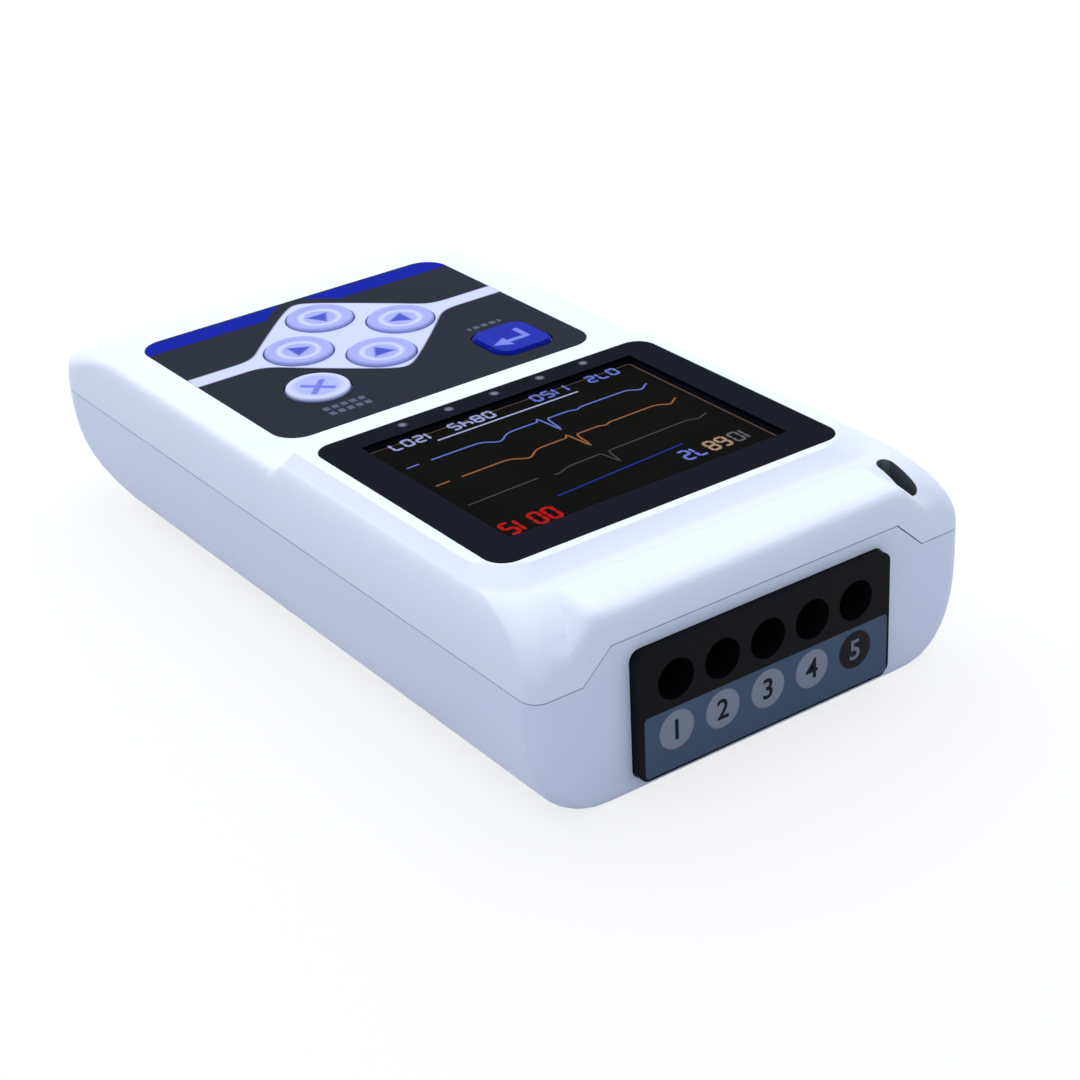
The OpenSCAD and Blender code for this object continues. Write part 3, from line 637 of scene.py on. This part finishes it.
class Workshop:
    """Makes, places and reports the pieces of the scene."""

    def __init__(self, frame: Mapping[str, Any]) -> None:
        """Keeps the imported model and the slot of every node."""
        self.nodes = frame["nodes"]
        self.slots = {
            node: entry["slot"]
            for entry in frame["record"].get("materials", [])
            for node in entry.get("nodes", [])
        }

    def piece(
        self, name: str, mesh: bpy.types.Mesh, finish: bpy.types.Material, body: str
    ) -> bpy.types.Object:
        """Puts a mesh into the scene.

        Args:
            name: Object name.
            mesh: Its mesh, in place.
            finish: Its material.
            body: The body that it moves with.

        Returns:
            The object.
        """
        made = stand(name, mesh)
        mesh.materials.clear()
        mesh.materials.append(finish)
        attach(made, body)
        LOG.info("%s: %d faces on %s", name, len(mesh.polygons), body)
        return made

    def smoothed(
        self, node: str, finish: bpy.types.Material, body: str = CASE, angle: float = 28.0
    ) -> bpy.types.Object:
        """Stands a merged, softly shaded copy in for a node.

        Args:
            node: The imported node.
            finish: Material of the copy.
            body: The body that it moves with.
            angle: Bend in degrees from which an edge stays sharp.

        Returns:
            The copy.
        """
        mesh = self.nodes[node].data.copy()
        mesh.name = node + "_skin"
        for layer in [a for a in mesh.attributes if a.name == "custom_normal"]:
            mesh.attributes.remove(layer)
        work = bmesh.new()
        work.from_mesh(mesh)
        bmesh.ops.remove_doubles(work, verts=work.verts, dist=MERGE * MM)
        work.to_mesh(mesh)
        work.free()
        mesh.shade_smooth()
        mesh.set_sharp_from_angle(angle=math.radians(angle))
        made = self.piece(node + "_skin", mesh, finish, body)
        weigh = made.modifiers.new("even_shading", "WEIGHTED_NORMAL")
        weigh.keep_sharp = True
        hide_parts(node)
        return made

    def finish(self, material: bpy.types.Material, *nodes: str) -> None:
        """Gives nodes that stay as they are a material."""
        for node in nodes:
            mesh = self.nodes[node].data
            mesh.materials.clear()
            mesh.materials.append(material)
            LOG.info("%s: %s", node, material.name)

    @staticmethod
    def box(node: str) -> tuple[np.ndarray, np.ndarray]:
        """Lowest and highest corner of a node in millimetres."""
        low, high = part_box(node)
        return np.array(low) / MM, np.array(high) / MM


# ---- the recorder


@dataclass(frozen=True)
class Housing:
    """The two shells, the battery door and the screws.

    Attributes:
        eye: The strap eye's middle, x and y, and its side mouth's lower level.
        eye_size, eye_shade_margin: Its width and length, and how far round it the painted shade
            reaches.
        front: Level of the brow's face along Y.
        brow_corner, brow_slope: Where the brow turns down, x and z, and the angle.
        brow_round, skin: Radius of its rounding, and how far off a point may lie.
        crest: The crest's half width, and its rise.
        sharp: Bend in degrees from which an edge stays sharp.
    """

    pale: Colour = paint(231, 240, 251)
    # the upper shell's white, a little darker and bluer as painted shade, for the lower shell and
    # the door
    pale_painted_shade: Colour = paint(222, 232, 247)
    # colour of the painted shade inside the strap eye
    eye_painted_shade: Colour = paint(86, 94, 96)
    eye: tuple[float, float, float] = (28.85, -58.2, 20.7)
    eye_size: Point = (2.5, 6.6)
    eye_shade_margin: float = 0.12
    front: float = -64.0
    brow_corner: Point = (24.27, 24.1)
    brow_slope: float = 42.98
    lean_blend: float = 1.2
    brow_round: float = 3.1
    skin: float = 0.35
    crest: Point = (1.4, 0.45)
    sharp: float = 24.0

    def crown(self, mesh: bpy.types.Mesh) -> None:
        """Draws the brow's rounding out to a crest.

        With u the depth behind the front, w the height over the brow's face
        and r the rounding's radius, points where hypot(r - u, w) is r lie on
        it. They move away from its centre by rise * (1 - |s| / half), where
        s = (u + w - r) / sqrt(2) is zero along its middle.

        Args:
            mesh: The upper shell's copy, in metres.
        """
        flat = np.zeros(len(mesh.vertices) * 3)
        mesh.vertices.foreach_get("co", flat)
        points = flat.reshape(-1, 3) / MM
        turn = math.radians(self.brow_slope)
        up = points[:, 2] - self.brow_corner[1]
        slant = (np.abs(points[:, 0]) - self.brow_corner[0]) * math.sin(turn) + up * math.cos(turn)
        over, behind = np.maximum(up, slant), points[:, 1] - self.front
        lean = np.clip((slant - up) / self.lean_blend + 0.5, 0, 1) * turn
        reach = np.maximum(np.hypot(self.brow_round - behind, over), 0.01)
        half, rise = self.crest
        along = np.abs(behind + over - self.brow_round) * math.sqrt(0.5)
        on_skin = np.abs(reach - self.brow_round) < self.skin
        on_skin &= (over > 0) & (behind < self.brow_round)
        lift = np.where(on_skin, rise * np.clip(1 - along / half, 0, 1), 0) / reach
        points[:, 0] += lift * over * np.sin(lean) * np.sign(points[:, 0])
        points[:, 1] += lift * (behind - self.brow_round)
        points[:, 2] += lift * over * np.cos(lean)
        points[:, 1] = np.maximum(points[:, 1], self.front)
        mesh.vertices.foreach_set("co", (points * MM).ravel())
        mesh.update()

    @staticmethod
    def moulding(name: str, colour: Colour) -> Plastic:
        """Plastic of a shell, in the colour given for it."""
        return Plastic(name, colour, 0.5, grain=0.32, depth=0.012, drift=0.035, speck=0.012)

    def upper(self) -> bpy.types.Material:
        """Upper shell's plastic, with painted shade inside the strap eye."""
        plastic = self.moulding("upper_case_plastic", self.pale)
        shader = Shader(plastic.name, {"Specular IOR Level": plastic.shine})
        body = plastic.dress(shader)
        wide, long = self.eye_size[0] + self.eye_shade_margin, self.eye_size[1] + self.eye_shade_margin
        down = Plane(shader.x, shader.y).at(*self.eye[:2]).slab(wide, long, wide / 2)
        aside = Plane(shader.z, shader.y).at(self.eye[2] + self.eye_size[0] / 2, self.eye[1])
        eye = down.low(aside.slab(wide, long, wide / 2).high(self.eye[0] - shader.x))
        # painted shade: the white is painted dark inside the strap eye, seen from above and through
        # its side mouth
        shader.put("Base Color", shader.mix(eye.fill(0.1), body, self.eye_painted_shade))
        return shader.material

    def build(self, shop: Workshop) -> None:
        """Smooths the shells, the door and the screws, and dresses them."""
        # lower shell and door: the same white plastic with painted shade
        lower = self.moulding("lower_case_plastic", self.pale_painted_shade).material()
        self.crown(shop.smoothed("top_shell", self.upper(), angle=self.sharp).data)
        shop.smoothed("bottom_shell", lower, angle=self.sharp)
        shop.smoothed("battery_door", lower, "battery_door", self.sharp)
        screw = Metal("screw_steel", paint(170, 172, 176), 0.35).material()
        shop.smoothed("case_screws", screw)
        shop.smoothed("board_screws", screw)


@dataclass(frozen=True)
class Trace:
    """One curve on the display: a sloping line with bell-shaped bumps on it."""

    name: str
    colour: Colour
    level: float
    slope: float
    bumps: tuple[tuple[float, float, float], ...]
    gap: Point | None = None
    span: Point = (-20.6, 20.7)
    width: float = 0.27

    def paths(self) -> list[np.ndarray]:
        """Places along the curve, in one run or in two around its gap.

        y = level + slope x + the sum of height * exp(-((x - centre) / width)^2).

        Returns:
            n x 2 places in millimetres for each run.
        """
        ends = [self.span]
        if self.gap:
            ends = [(self.span[0], self.gap[0]), (self.gap[1], self.span[1])]
        runs = []
        for start, stop in ends:
            x = np.linspace(start, stop, max(6, int((stop - start) * 6)))
            y = self.level + self.slope * x
            for centre, half, height in self.bumps:
                y = y + height * np.exp(-(((x - centre) / half) ** 2))
            runs.append(np.stack([x, y], axis=1))
        return runs


@dataclass(frozen=True)
class Display:
    """Clear window, black print, panel, and what the panel shows.

    Attributes:
        border: Width of the print at the left, right, front and back.
        lights, light_back: Places of the lights along X, and distance from the back edge.
        mark_gap, mark_thick: Air below the lit marks, and their thickness.
    """

    bezel: Colour = paint(29, 31, 39)
    panel: Colour = paint(18, 18, 16)
    border: tuple[float, float, float, float] = (5.7, 5.2, 5.7, 3.9)
    lights: tuple[float, ...] = (-14.65, -6.85, 1.0, 9.0, 16.8)
    light_back: float = 1.55
    light_radius: float = 0.55
    mark_gap: float = 0.01
    mark_thick: float = 0.03
    blue: Colour = paint(120, 138, 235)
    lilac: Colour = paint(178, 186, 240)
    amber: Colour = paint(170, 116, 76)
    grey: Colour = paint(74, 78, 82)
    red: Colour = paint(205, 34, 34)

    def opening(self, shop: Workshop, plane: Plane, inset: float = 0.0) -> Value:
        """Distance from the window's clear part, made smaller by an inset."""
        low, high = shop.box("display_window")
        left, right, front, back = self.border
        mid_x = (low[0] + left + high[0] - right) / 2
        mid_y = (low[1] + front + high[1] - back) / 2
        wide, tall = high[0] - right - low[0] - left, high[1] - back - low[1] - front
        return plane.at(mid_x, mid_y).slab(wide - inset, tall - inset, 0.3)

    def window(self, shop: Workshop) -> bpy.types.Material:
        """Clear pane whose back is printed dark round the picture and the lights."""
        row = shop.box("display_window")[1][1] - self.light_back
        shader = Shader("window_pane", {"Roughness": 0.3, "Specular IOR Level": 0.0})
        plane = Plane(shader.x, shader.y)
        view = self.opening(shop, plane).fill(0.1)
        spots = [plane.at(x, row).disc(self.light_radius).fill(0.5) for x in self.lights]
        lamps = reduce(Value.high, spots)
        tint = shader.mix(shader.noise(9.0), shade(self.bezel, 0.92), shade(self.bezel, 1.06))
        shader.put("Base Color", shader.mix(lamps, tint, paint(120, 126, 142)))
        shader.put("Alpha", 1.0 - view)
        shader.relief(shader.noise(5.0, 1.0), 0.003)
        return shader.material

    def glass(self, shop: Workshop) -> bpy.types.Material:
        """Dark panel with a faint warm line where its polariser ends."""
        shader = Shader("panel_glass", {"Roughness": 0.5, "Specular IOR Level": 0.0})
        edge = self.opening(shop, Plane(shader.x, shader.y), inset=0.7)
        line = abs(edge) - 0.16
        dark = shader.mix(shader.noise(12.0), self.panel, shade(self.panel, 1.5))
        shader.put("Base Color", shader.mix(line.fill(0.1) * 0.7, dark, paint(120, 96, 84)))
        return shader.material

    def traces(self) -> list[Trace]:
        """The three heart curves and the two straight rules."""
        beat = (
            (-6.2, 1.6, -1.5),
            (1.75, 0.28, 0.9),
            (2.4, 0.34, -4.2),
            (7.9, 0.7, -0.4),
            (18.9, 1.2, -1.1),
        )
        faint = ((-6.2, 1.6, -0.8), (2.4, 0.4, -3.6), (18.9, 1.2, -0.6))
        white, deep = paint(196, 205, 250), paint(44, 60, 168)
        return [
            Trace("curve_blue", self.blue, -15.3, 0.004, beat, (-18.6, -16.6)),
            Trace("curve_amber", self.amber, -22.1, 0.014, beat, (-18.4, -16.4)),
            Trace("curve_grey", self.grey, -29.2, 0.03, faint, (-9.0, -6.8), width=0.26),
            Trace("rule_white", white, -10.9, 0.0, (), span=(-12.5, 11.7), width=0.3),
            Trace("rule_blue", deep, -34.8, 0.06, (), span=(-10.2, 12.0), width=0.26),
        ]

    def build(self, shop: Workshop) -> None:
        """Dresses the stack and lays the lit marks on the panel."""
        shop.finish(self.window(shop), "display_window")
        shop.finish(self.glass(shop), "lcd_panel")
        tape = Plastic("tape_film", paint(30, 30, 34), 0.6, 0.4, 0.004)
        shop.finish(tape.material(), "window_tape")
        shop.finish(Metal("frame_steel", paint(196, 196, 192), 0.32).material(), "lcd_frame")
        flex = Film("flex_film", paint(190, 118, 42), paint(214, 150, 70))
        shop.finish(flex.material(), "display_flex")
        lens = Plastic("lens_plastic", paint(176, 184, 198), 0.3, 0.5, 0.006)
        shop.finish(lens.material(), "indicator_lights")

        low = shop.box("lcd_panel")[1][2] + self.mark_gap
        high = low + self.mark_thick
        for trace in self.traces():
            ink = Glow(trace.name + "_light", trace.colour).material()
            for i, path in enumerate(trace.paths()):
                mesh = ribbon(f"{trace.name}_{i + 1}", path, trace.width, low, high)
                shop.piece(f"{trace.name}_{i + 1}", mesh, ink, CASE)
        groups = (
            ("figures_red", self.red, "0015", (-13.6, -38.7), (1.45, 3.2), 0.55),
            ("figures_blue", self.blue, "72", (12.2, -37.2), (1.3, 2.7), 0.45),
            ("figures_amber", paint(190, 160, 132), "68", (16.6, -37.2), (1.3, 2.7), 0.45),
            ("figures_grey", paint(110, 112, 118), "10", (20.9, -37.2), (1.3, 2.7), 0.4),
            ("menu_lilac", self.lilac, "0845 1207", (-2.4, -8.75), (1.26, 2.0), 0.42),
            ("menu_blue", self.blue, "072 1150", (19.6, -8.75), (1.26, 2.0), 0.42),
        )
        for name, colour, text, place, size, stroke in groups:
            rows = seven_segments(text, place, size, stroke)
            ink = Glow(name + "_light", colour).material()
            shop.piece(name, plates(name, rows, low, high), ink, CASE)


class Icon(Enum):
    """Signs on the six keys, with the way that an arrow points in degrees.

    The last two are no arrows, and their numbers only tell them apart.
    """

    UP = 270.0
    DOWN = 90.0
    LEFT = 0.0
    RIGHT = 180.0
    CANCEL = -1.0
    ENTER = -2.0


@dataclass(frozen=True)
class Keypad:
    """Printed film with its white island, and six printed keys.

    Attributes:
        island, island_tip: Half diagonals of the rhombus, and softening of its tips.
        island_back: How far it lies behind the arrow keys' middle.
        face_depth: How far down from its top a key is printed.
        captions: Dashes by two keys: offset along Y, size of a row, and places of the rows.
    """

    slate: Colour = paint(45, 48, 59)
    white: Colour = paint(207, 215, 244)
    band: Colour = paint(22, 37, 158)
    lavender: Colour = paint(166, 175, 234)
    sign: Colour = paint(52, 66, 190)
    island: Point = (18.6, 17.6)
    island_tip: float = 1.8
    island_back: float = 0.4
    island_blend: float = 3.0
    stripe: float = 3.1
    band_depth: float = 4.3
    band_clear: float = 1.9
    face_depth: float = 0.35
    captions: tuple[tuple[str, float, Point, tuple[float, ...]], ...] = (
        ("cancel", -8.0, (7.4, 1.1), (-0.9, 0.9)),
        ("enter", 7.2, (6.0, 0.9), (0.0,)),
    )
    dash_pitch: float = 1.5
    dash_half: float = 0.5

    def film(self, shop: Workshop) -> bpy.types.Material:
        """Slate film: white rhombus and stripe, blue band, and faint key marks."""
        _, high = shop.box("keypad_overlay")
        ring = [shop.box(f"key_{side}") for side in ("up", "down", "left", "right")]
        mid = sum(a[:2] + b[:2] for a, b in ring) / 8
        shader = Shader("keypad_film", {"Specular IOR Level": 0.002})
        plane = Plane(shader.x, shader.y)
        core = plane.at(mid[0], mid[1] + self.island_back)
        bar = abs(core.v) - self.stripe / 2
        shape = core.rhombus(*self.island, self.island_tip)
        island = shape.math("SMOOTH_MIN", shape, bar, self.island_blend)
        far = high[1] - shader.y - self.band_depth
        blue = far.high(self.band_clear - shape).fill(0.5)
        blue = blue * (shader.y - high[1] + 0.35).fill(0.3)
        body = shader.mix(shader.noise(14.0), shade(self.slate, 0.93), shade(self.slate, 1.05))
        colour = shader.mix(blue, body, self.band)
        colour = shader.mix(island.fill(0.35), colour, self.white)
        for key, offset, size, rows in self.captions:
            a, b = shop.box(f"key_{key}")
            for row in rows:
                spot = plane.at((a[0] + b[0]) / 2, (a[1] + b[1]) / 2 + offset + row)
                dash = (spot.u.wrap(self.dash_pitch) - self.dash_half).fill(0.2)
                dash = spot.slab(*size, 0.3).fill(0.3) * dash
                colour = shader.mix(dash * 0.45, colour, paint(128, 138, 168))
        shader.put("Base Color", colour)
        shader.put("Roughness", shader.noise(3.0) * 0.1 + 0.4)
        shader.relief(shader.noise(0.25, 2.0), 0.006)
        return shader.material

    def key(self, shop: Workshop, name: str, icon: Icon) -> bpy.types.Material:
        """Printed top of the key that a node names, with its sign."""
        low, high = shop.box(name)
        shader = Shader(name + "_print", {"Roughness": 0.42, "Specular IOR Level": 0.012})
        spot = Plane(shader.x, shader.y).at((low[0] + high[0]) / 2, (low[1] + high[1]) / 2)
        face = (high[2] - self.face_depth - shader.z).fill(0.1)
        if icon is Icon.ENTER:
            ground = shader.mix(shader.noise(3.0), shade(self.band, 0.95), shade(self.band, 1.25))
            shaft = spot.at(-0.2, -1.2).slab(4.6, 0.9, 0.2)
            rise = spot.at(2.0, 0.3).slab(0.9, 3.6, 0.2)
            tip = spot.at(-2.3, -1.2, 180).wedge(1.8)
            sign = shaft.low(rise).low(tip).fill(0.3)
            tint = paint(128, 142, 226)
        elif icon is Icon.CANCEL:
            rim = spot.disc(3.6).fill(1.6)
            ground = shader.mix(rim, self.white, shade(self.lavender, 1.12))
            strokes = [spot.at(0, 0, turn).slab(5.4, 0.95, 0.3) for turn in (45, -45)]
            sign = reduce(Value.low, strokes).fill(0.35)
            tint = paint(104, 114, 208)
        else:
            halo = abs(spot.disc(3.0)) - 0.35
            ground = shader.mix(halo.fill(0.7), self.lavender, self.white)
            sign = spot.at(0, 0, icon.value).wedge(2.1).fill(0.4)
            tint = self.sign
        side = self.band if icon is Icon.ENTER else self.lavender
        printed = shader.mix(sign * 0.9, ground, tint)
        shader.put("Base Color", shader.mix(face, side, printed))
        shader.relief(shader.noise(0.25, 2.0), 0.005)
        return shader.material

    def build(self, shop: Workshop) -> None:
        """Dresses film, keys and switches."""
        shop.finish(self.film(shop), "keypad_overlay")
        for icon in Icon:
            name = f"key_{icon.name.lower()}"
            shop.smoothed(name, self.key(shop, name, icon), name)
        shop.finish(Plastic("switch_plastic", paint(36, 37, 40), 0.5).material(), "key_switches")


@dataclass(frozen=True)
class Sockets:
    """Black socket block, its numbered label and the contact pins.

    Attributes:
        disc, disc_up: Radius of the discs, and their height above the label's lower edge.
        ink, ink_out: Half the numbers' thickness, and their distance from the label.
    """

    black: Colour = paint(16, 16, 20)
    slate: Colour = paint(71, 91, 113)
    pale: Colour = paint(134, 142, 154)
    dark: Colour = paint(19, 19, 25)
    count: int = 5
    disc: float = 2.75
    disc_up: float = 5.55
    figure: float = 4.1
    ink: float = 0.012
    ink_out: float = 0.014

    def places(self, shop: Workshop) -> tuple[np.ndarray, float]:
        """Where the numbers stand: their places along X, and their height."""
        low, high = shop.box("contact_pins")
        radius = (high[2] - low[2]) / 2
        places = np.linspace(low[0] + radius, high[0] - radius, self.count)
        return places, shop.box("socket_label")[0][2] + self.disc_up

    def label(self, shop: Workshop) -> bpy.types.Material:
        """Slate band with four pale discs and a dark one."""
        places, height = self.places(shop)
        shader = Shader("socket_print", {"Roughness": 0.4, "Specular IOR Level": 0.08})
        plane = Plane(shader.x, shader.z)
        ground = shader.mix(shader.noise(8.0), shade(self.slate, 0.9), shade(self.slate, 1.08))
        for i, x in enumerate(places):
            colour = self.dark if i == self.count - 1 else self.pale
            spot = plane.at(float(x), height).disc(self.disc).fill(0.2)
            ground = shader.mix(spot, ground, colour)
        shader.put("Base Color", ground)
        shader.relief(shader.noise(0.3, 2.0), 0.004)
        return shader.material

    def figures(self, shop: Workshop) -> None:
        """Plain numbers 1 to 5, thin letters of ink on the label's face."""
        places, height = self.places(shop)
        level = shop.box("socket_label")[0][1] - self.ink_out
        tones = (("number_dark", paint(22, 24, 32)), ("number_light", paint(122, 128, 140)))
        dark, light = (Plastic(*tone, 0.5, 0.3, 0.002, shine=0.05).material() for tone in tones)
        for i, x in enumerate(places):
            curve = bpy.data.curves.new(f"number_{i + 1}", "FONT")
            curve.body = str(i + 1)
            curve.size = self.figure
            curve.extrude = self.ink
            curve.offset = 0.06
            curve.resolution_u = 6
            holder = stand(curve.name, curve)
            bpy.context.view_layer.update()
            graph = bpy.context.evaluated_depsgraph_get()
            mesh = bpy.data.meshes.new_from_object(holder.evaluated_get(graph))
            bpy.data.objects.remove(holder)
            flat = np.zeros(len(mesh.vertices) * 3)
            mesh.vertices.foreach_get("co", flat)
            flat = flat.reshape(-1, 3)
            flat -= (flat.min(0) + flat.max(0)) / 2
            # across stays X, up becomes Z, and the front faces -Y
            placed = np.stack([flat[:, 0] + x, level - flat[:, 2], flat[:, 1] + height], axis=1)
            mesh.vertices.foreach_set("co", (placed * MM).ravel())
            mesh.update()
            mesh.name = f"number_{i + 1}_ink"
            ink = light if i == self.count - 1 else dark
            shop.piece(f"number_{i + 1}", mesh, ink, CASE)

    def build(self, shop: Workshop) -> None:
        """Dresses the block and prints its label."""
        block = Plastic("socket_plastic", self.black, 0.42, 0.3, 0.008, 0.12, shine=0.05).material()
        shop.smoothed("socket_block", block)
        shop.smoothed("socket_body", block)
        shop.finish(self.label(shop), "socket_label")
        self.figures(shop)
        pin = Metal("pin_plating", paint(226, 206, 150), 0.22, (1.0, 12.0, 1.0)).material()
        shop.smoothed("contact_pins", pin)


@dataclass(frozen=True)
class Inside:
    """Boards, battery bay and data port, seen when the door is off."""

    def build(self, shop: Workshop) -> None:
        """Dresses what the case hides."""
        board = Board("board_mask", paint(24, 92, 62), paint(52, 128, 84)).material()
        shop.finish(board, "main_board", "lead_board")
        black = Plastic("part_plastic", paint(34, 35, 38), 0.5, 0.2, 0.01, 0.15).material()
        shop.finish(black, "board_chips", "board_link", "usb_tongue", "sounder")
        steel = Metal("sheet_steel", paint(200, 200, 196), 0.3).material()
        shop.finish(steel, "clock_cell", "usb_receptacle", "battery_plates")
        shop.smoothed("battery_springs", steel)
        tray = Plastic("tray_plastic", paint(176, 188, 208), 0.55).material()
        shop.finish(tray, "battery_tray")
        for node, plus_up in (("cell_left", True), ("cell_right", False)):
            low, high = shop.box(node)
            wrap = CellWrap(node + "_wrap", float(low[1]), float(high[1]), plus_up)
            shop.smoothed(node, wrap.material())


@dataclass(frozen=True)
class Studio:
    """Camera, white surround, soft lamp and floor.

    Attributes:
        location, turn, lens: The camera, in metres, degrees and millimetres.
        floor_bounce, floor_face: The floor's colour for soft rays, and as it is seen.
        floor_shine: Share of plain white in what is seen of it.
    """

    location: tuple[float, float, float] = (-0.17842662, -0.2712285, 0.17388895)
    turn: tuple[float, float, float] = (62.14129948, 2.58724515, -36.35761996)
    lens: float = 82.590362
    ambient: Colour = (0.60, 0.63, 0.74, 1.0)
    lamp_power: float = 15.5
    lamp_side: float = 1.8
    lamp_tint: tuple[float, float, float] = (1.0, 1.0, 0.97)
    lamp_place: tuple[float, float, float] = (0.25, 0.75, 1.0)
    floor_half: float = 3.0
    floor_drop: float = 0.00005
    floor_bounce: Colour = (0.62, 0.64, 0.68, 1.0)
    floor_face: Colour = (0.95, 0.95, 0.95, 1.0)
    floor_shine: float = 0.78

    def camera(self) -> None:
        """Long lens, high up at the -X corner of the socket end."""
        data = bpy.data.cameras.new("camera")
        data.lens, data.sensor_width, data.clip_start = self.lens, 36.0, 0.01
        made = stand("camera", data)
        made.location = self.location
        made.rotation_euler = Euler([math.radians(a) for a in self.turn], "XYZ")
        bpy.context.scene.camera = made

    @staticmethod
    def seen(graph: Graph) -> Value:
        """1 for camera, mirror and glass rays, and 0 for soft ones."""
        path = graph.nodes.new("ShaderNodeLightPath")
        rays = ("Is Camera Ray", "Is Glossy Ray", "Is Transmission Ray")
        return reduce(Value.high, [Value(graph, path.outputs[ray]) for ray in rays])

    def surround(self) -> None:
        """World that looks white and gives a soft, slightly blue light."""
        world = bpy.data.worlds.new("surround")
        world.use_nodes = True
        graph = Graph(world.node_tree)
        colour = graph.mix(self.seen(graph), self.ambient, (1.0, 1.0, 1.0, 1.0))
        back = graph.nodes["Background"]
        graph.links.new(colour.socket, back.inputs["Color"])
        back.inputs["Strength"].default_value = 1.0
        bpy.context.scene.world = world

    def lamp(self) -> None:
        """One wide lamp above, leaning to the keypad end, so that the front stays in shade."""
        data = bpy.data.lights.new("sky_panel", "AREA")
        data.shape, data.size, data.size_y = "RECTANGLE", self.lamp_side, self.lamp_side
        data.energy, data.color = self.lamp_power, self.lamp_tint
        made = stand("sky_panel", data)
        made.location = self.lamp_place
        made.rotation_euler = (-Vector(made.location)).to_track_quat("-Z", "Y").to_euler()

    def floor(self) -> None:
        """Pale floor that looks white where nothing shades it."""
        half = self.floor_half
        mesh = bpy.data.meshes.new("floor")
        corners = np.array([[-half, -half, 0], [half, -half, 0], [half, half, 0], [-half, half, 0]])
        mesh.from_pydata((corners - [0, 0, self.floor_drop]).tolist(), [], [[0, 1, 2, 3]])
        made = stand("floor", mesh)
        material = bpy.data.materials.new("floor_white")
        material.use_nodes = True
        graph = Graph(material.node_tree)
        graph.nodes.remove(graph.nodes["Principled BSDF"])
        seen = self.seen(graph)
        colour = graph.mix(seen, self.floor_bounce, self.floor_face)
        matt = graph.node("ShaderNodeBsdfDiffuse", inputs={"Color": colour})
        white = graph.node("ShaderNodeEmission")
        layers = {0: seen * self.floor_shine, 1: matt, 2: white}
        blend = graph.node("ShaderNodeMixShader", inputs=layers)
        graph.links.new(blend.socket, graph.nodes["Material Output"].inputs["Surface"])
        mesh.materials.append(material)

    def build(self) -> None:
        """Sets up the whole studio."""
        self.camera()
        self.surround()
        self.lamp()
        self.floor()
        bpy.context.scene.view_settings.view_transform = "Standard"


def main() -> None:
    """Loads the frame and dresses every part."""
    logging.basicConfig(level=logging.INFO, format="%(message)s")
    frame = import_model()
    shop = Workshop(frame)
    Studio().build()
    for part in (Housing(), Display(), Keypad(), Sockets(), Inside()):
        part.build(shop)


if __name__ == "__main__":
    main()
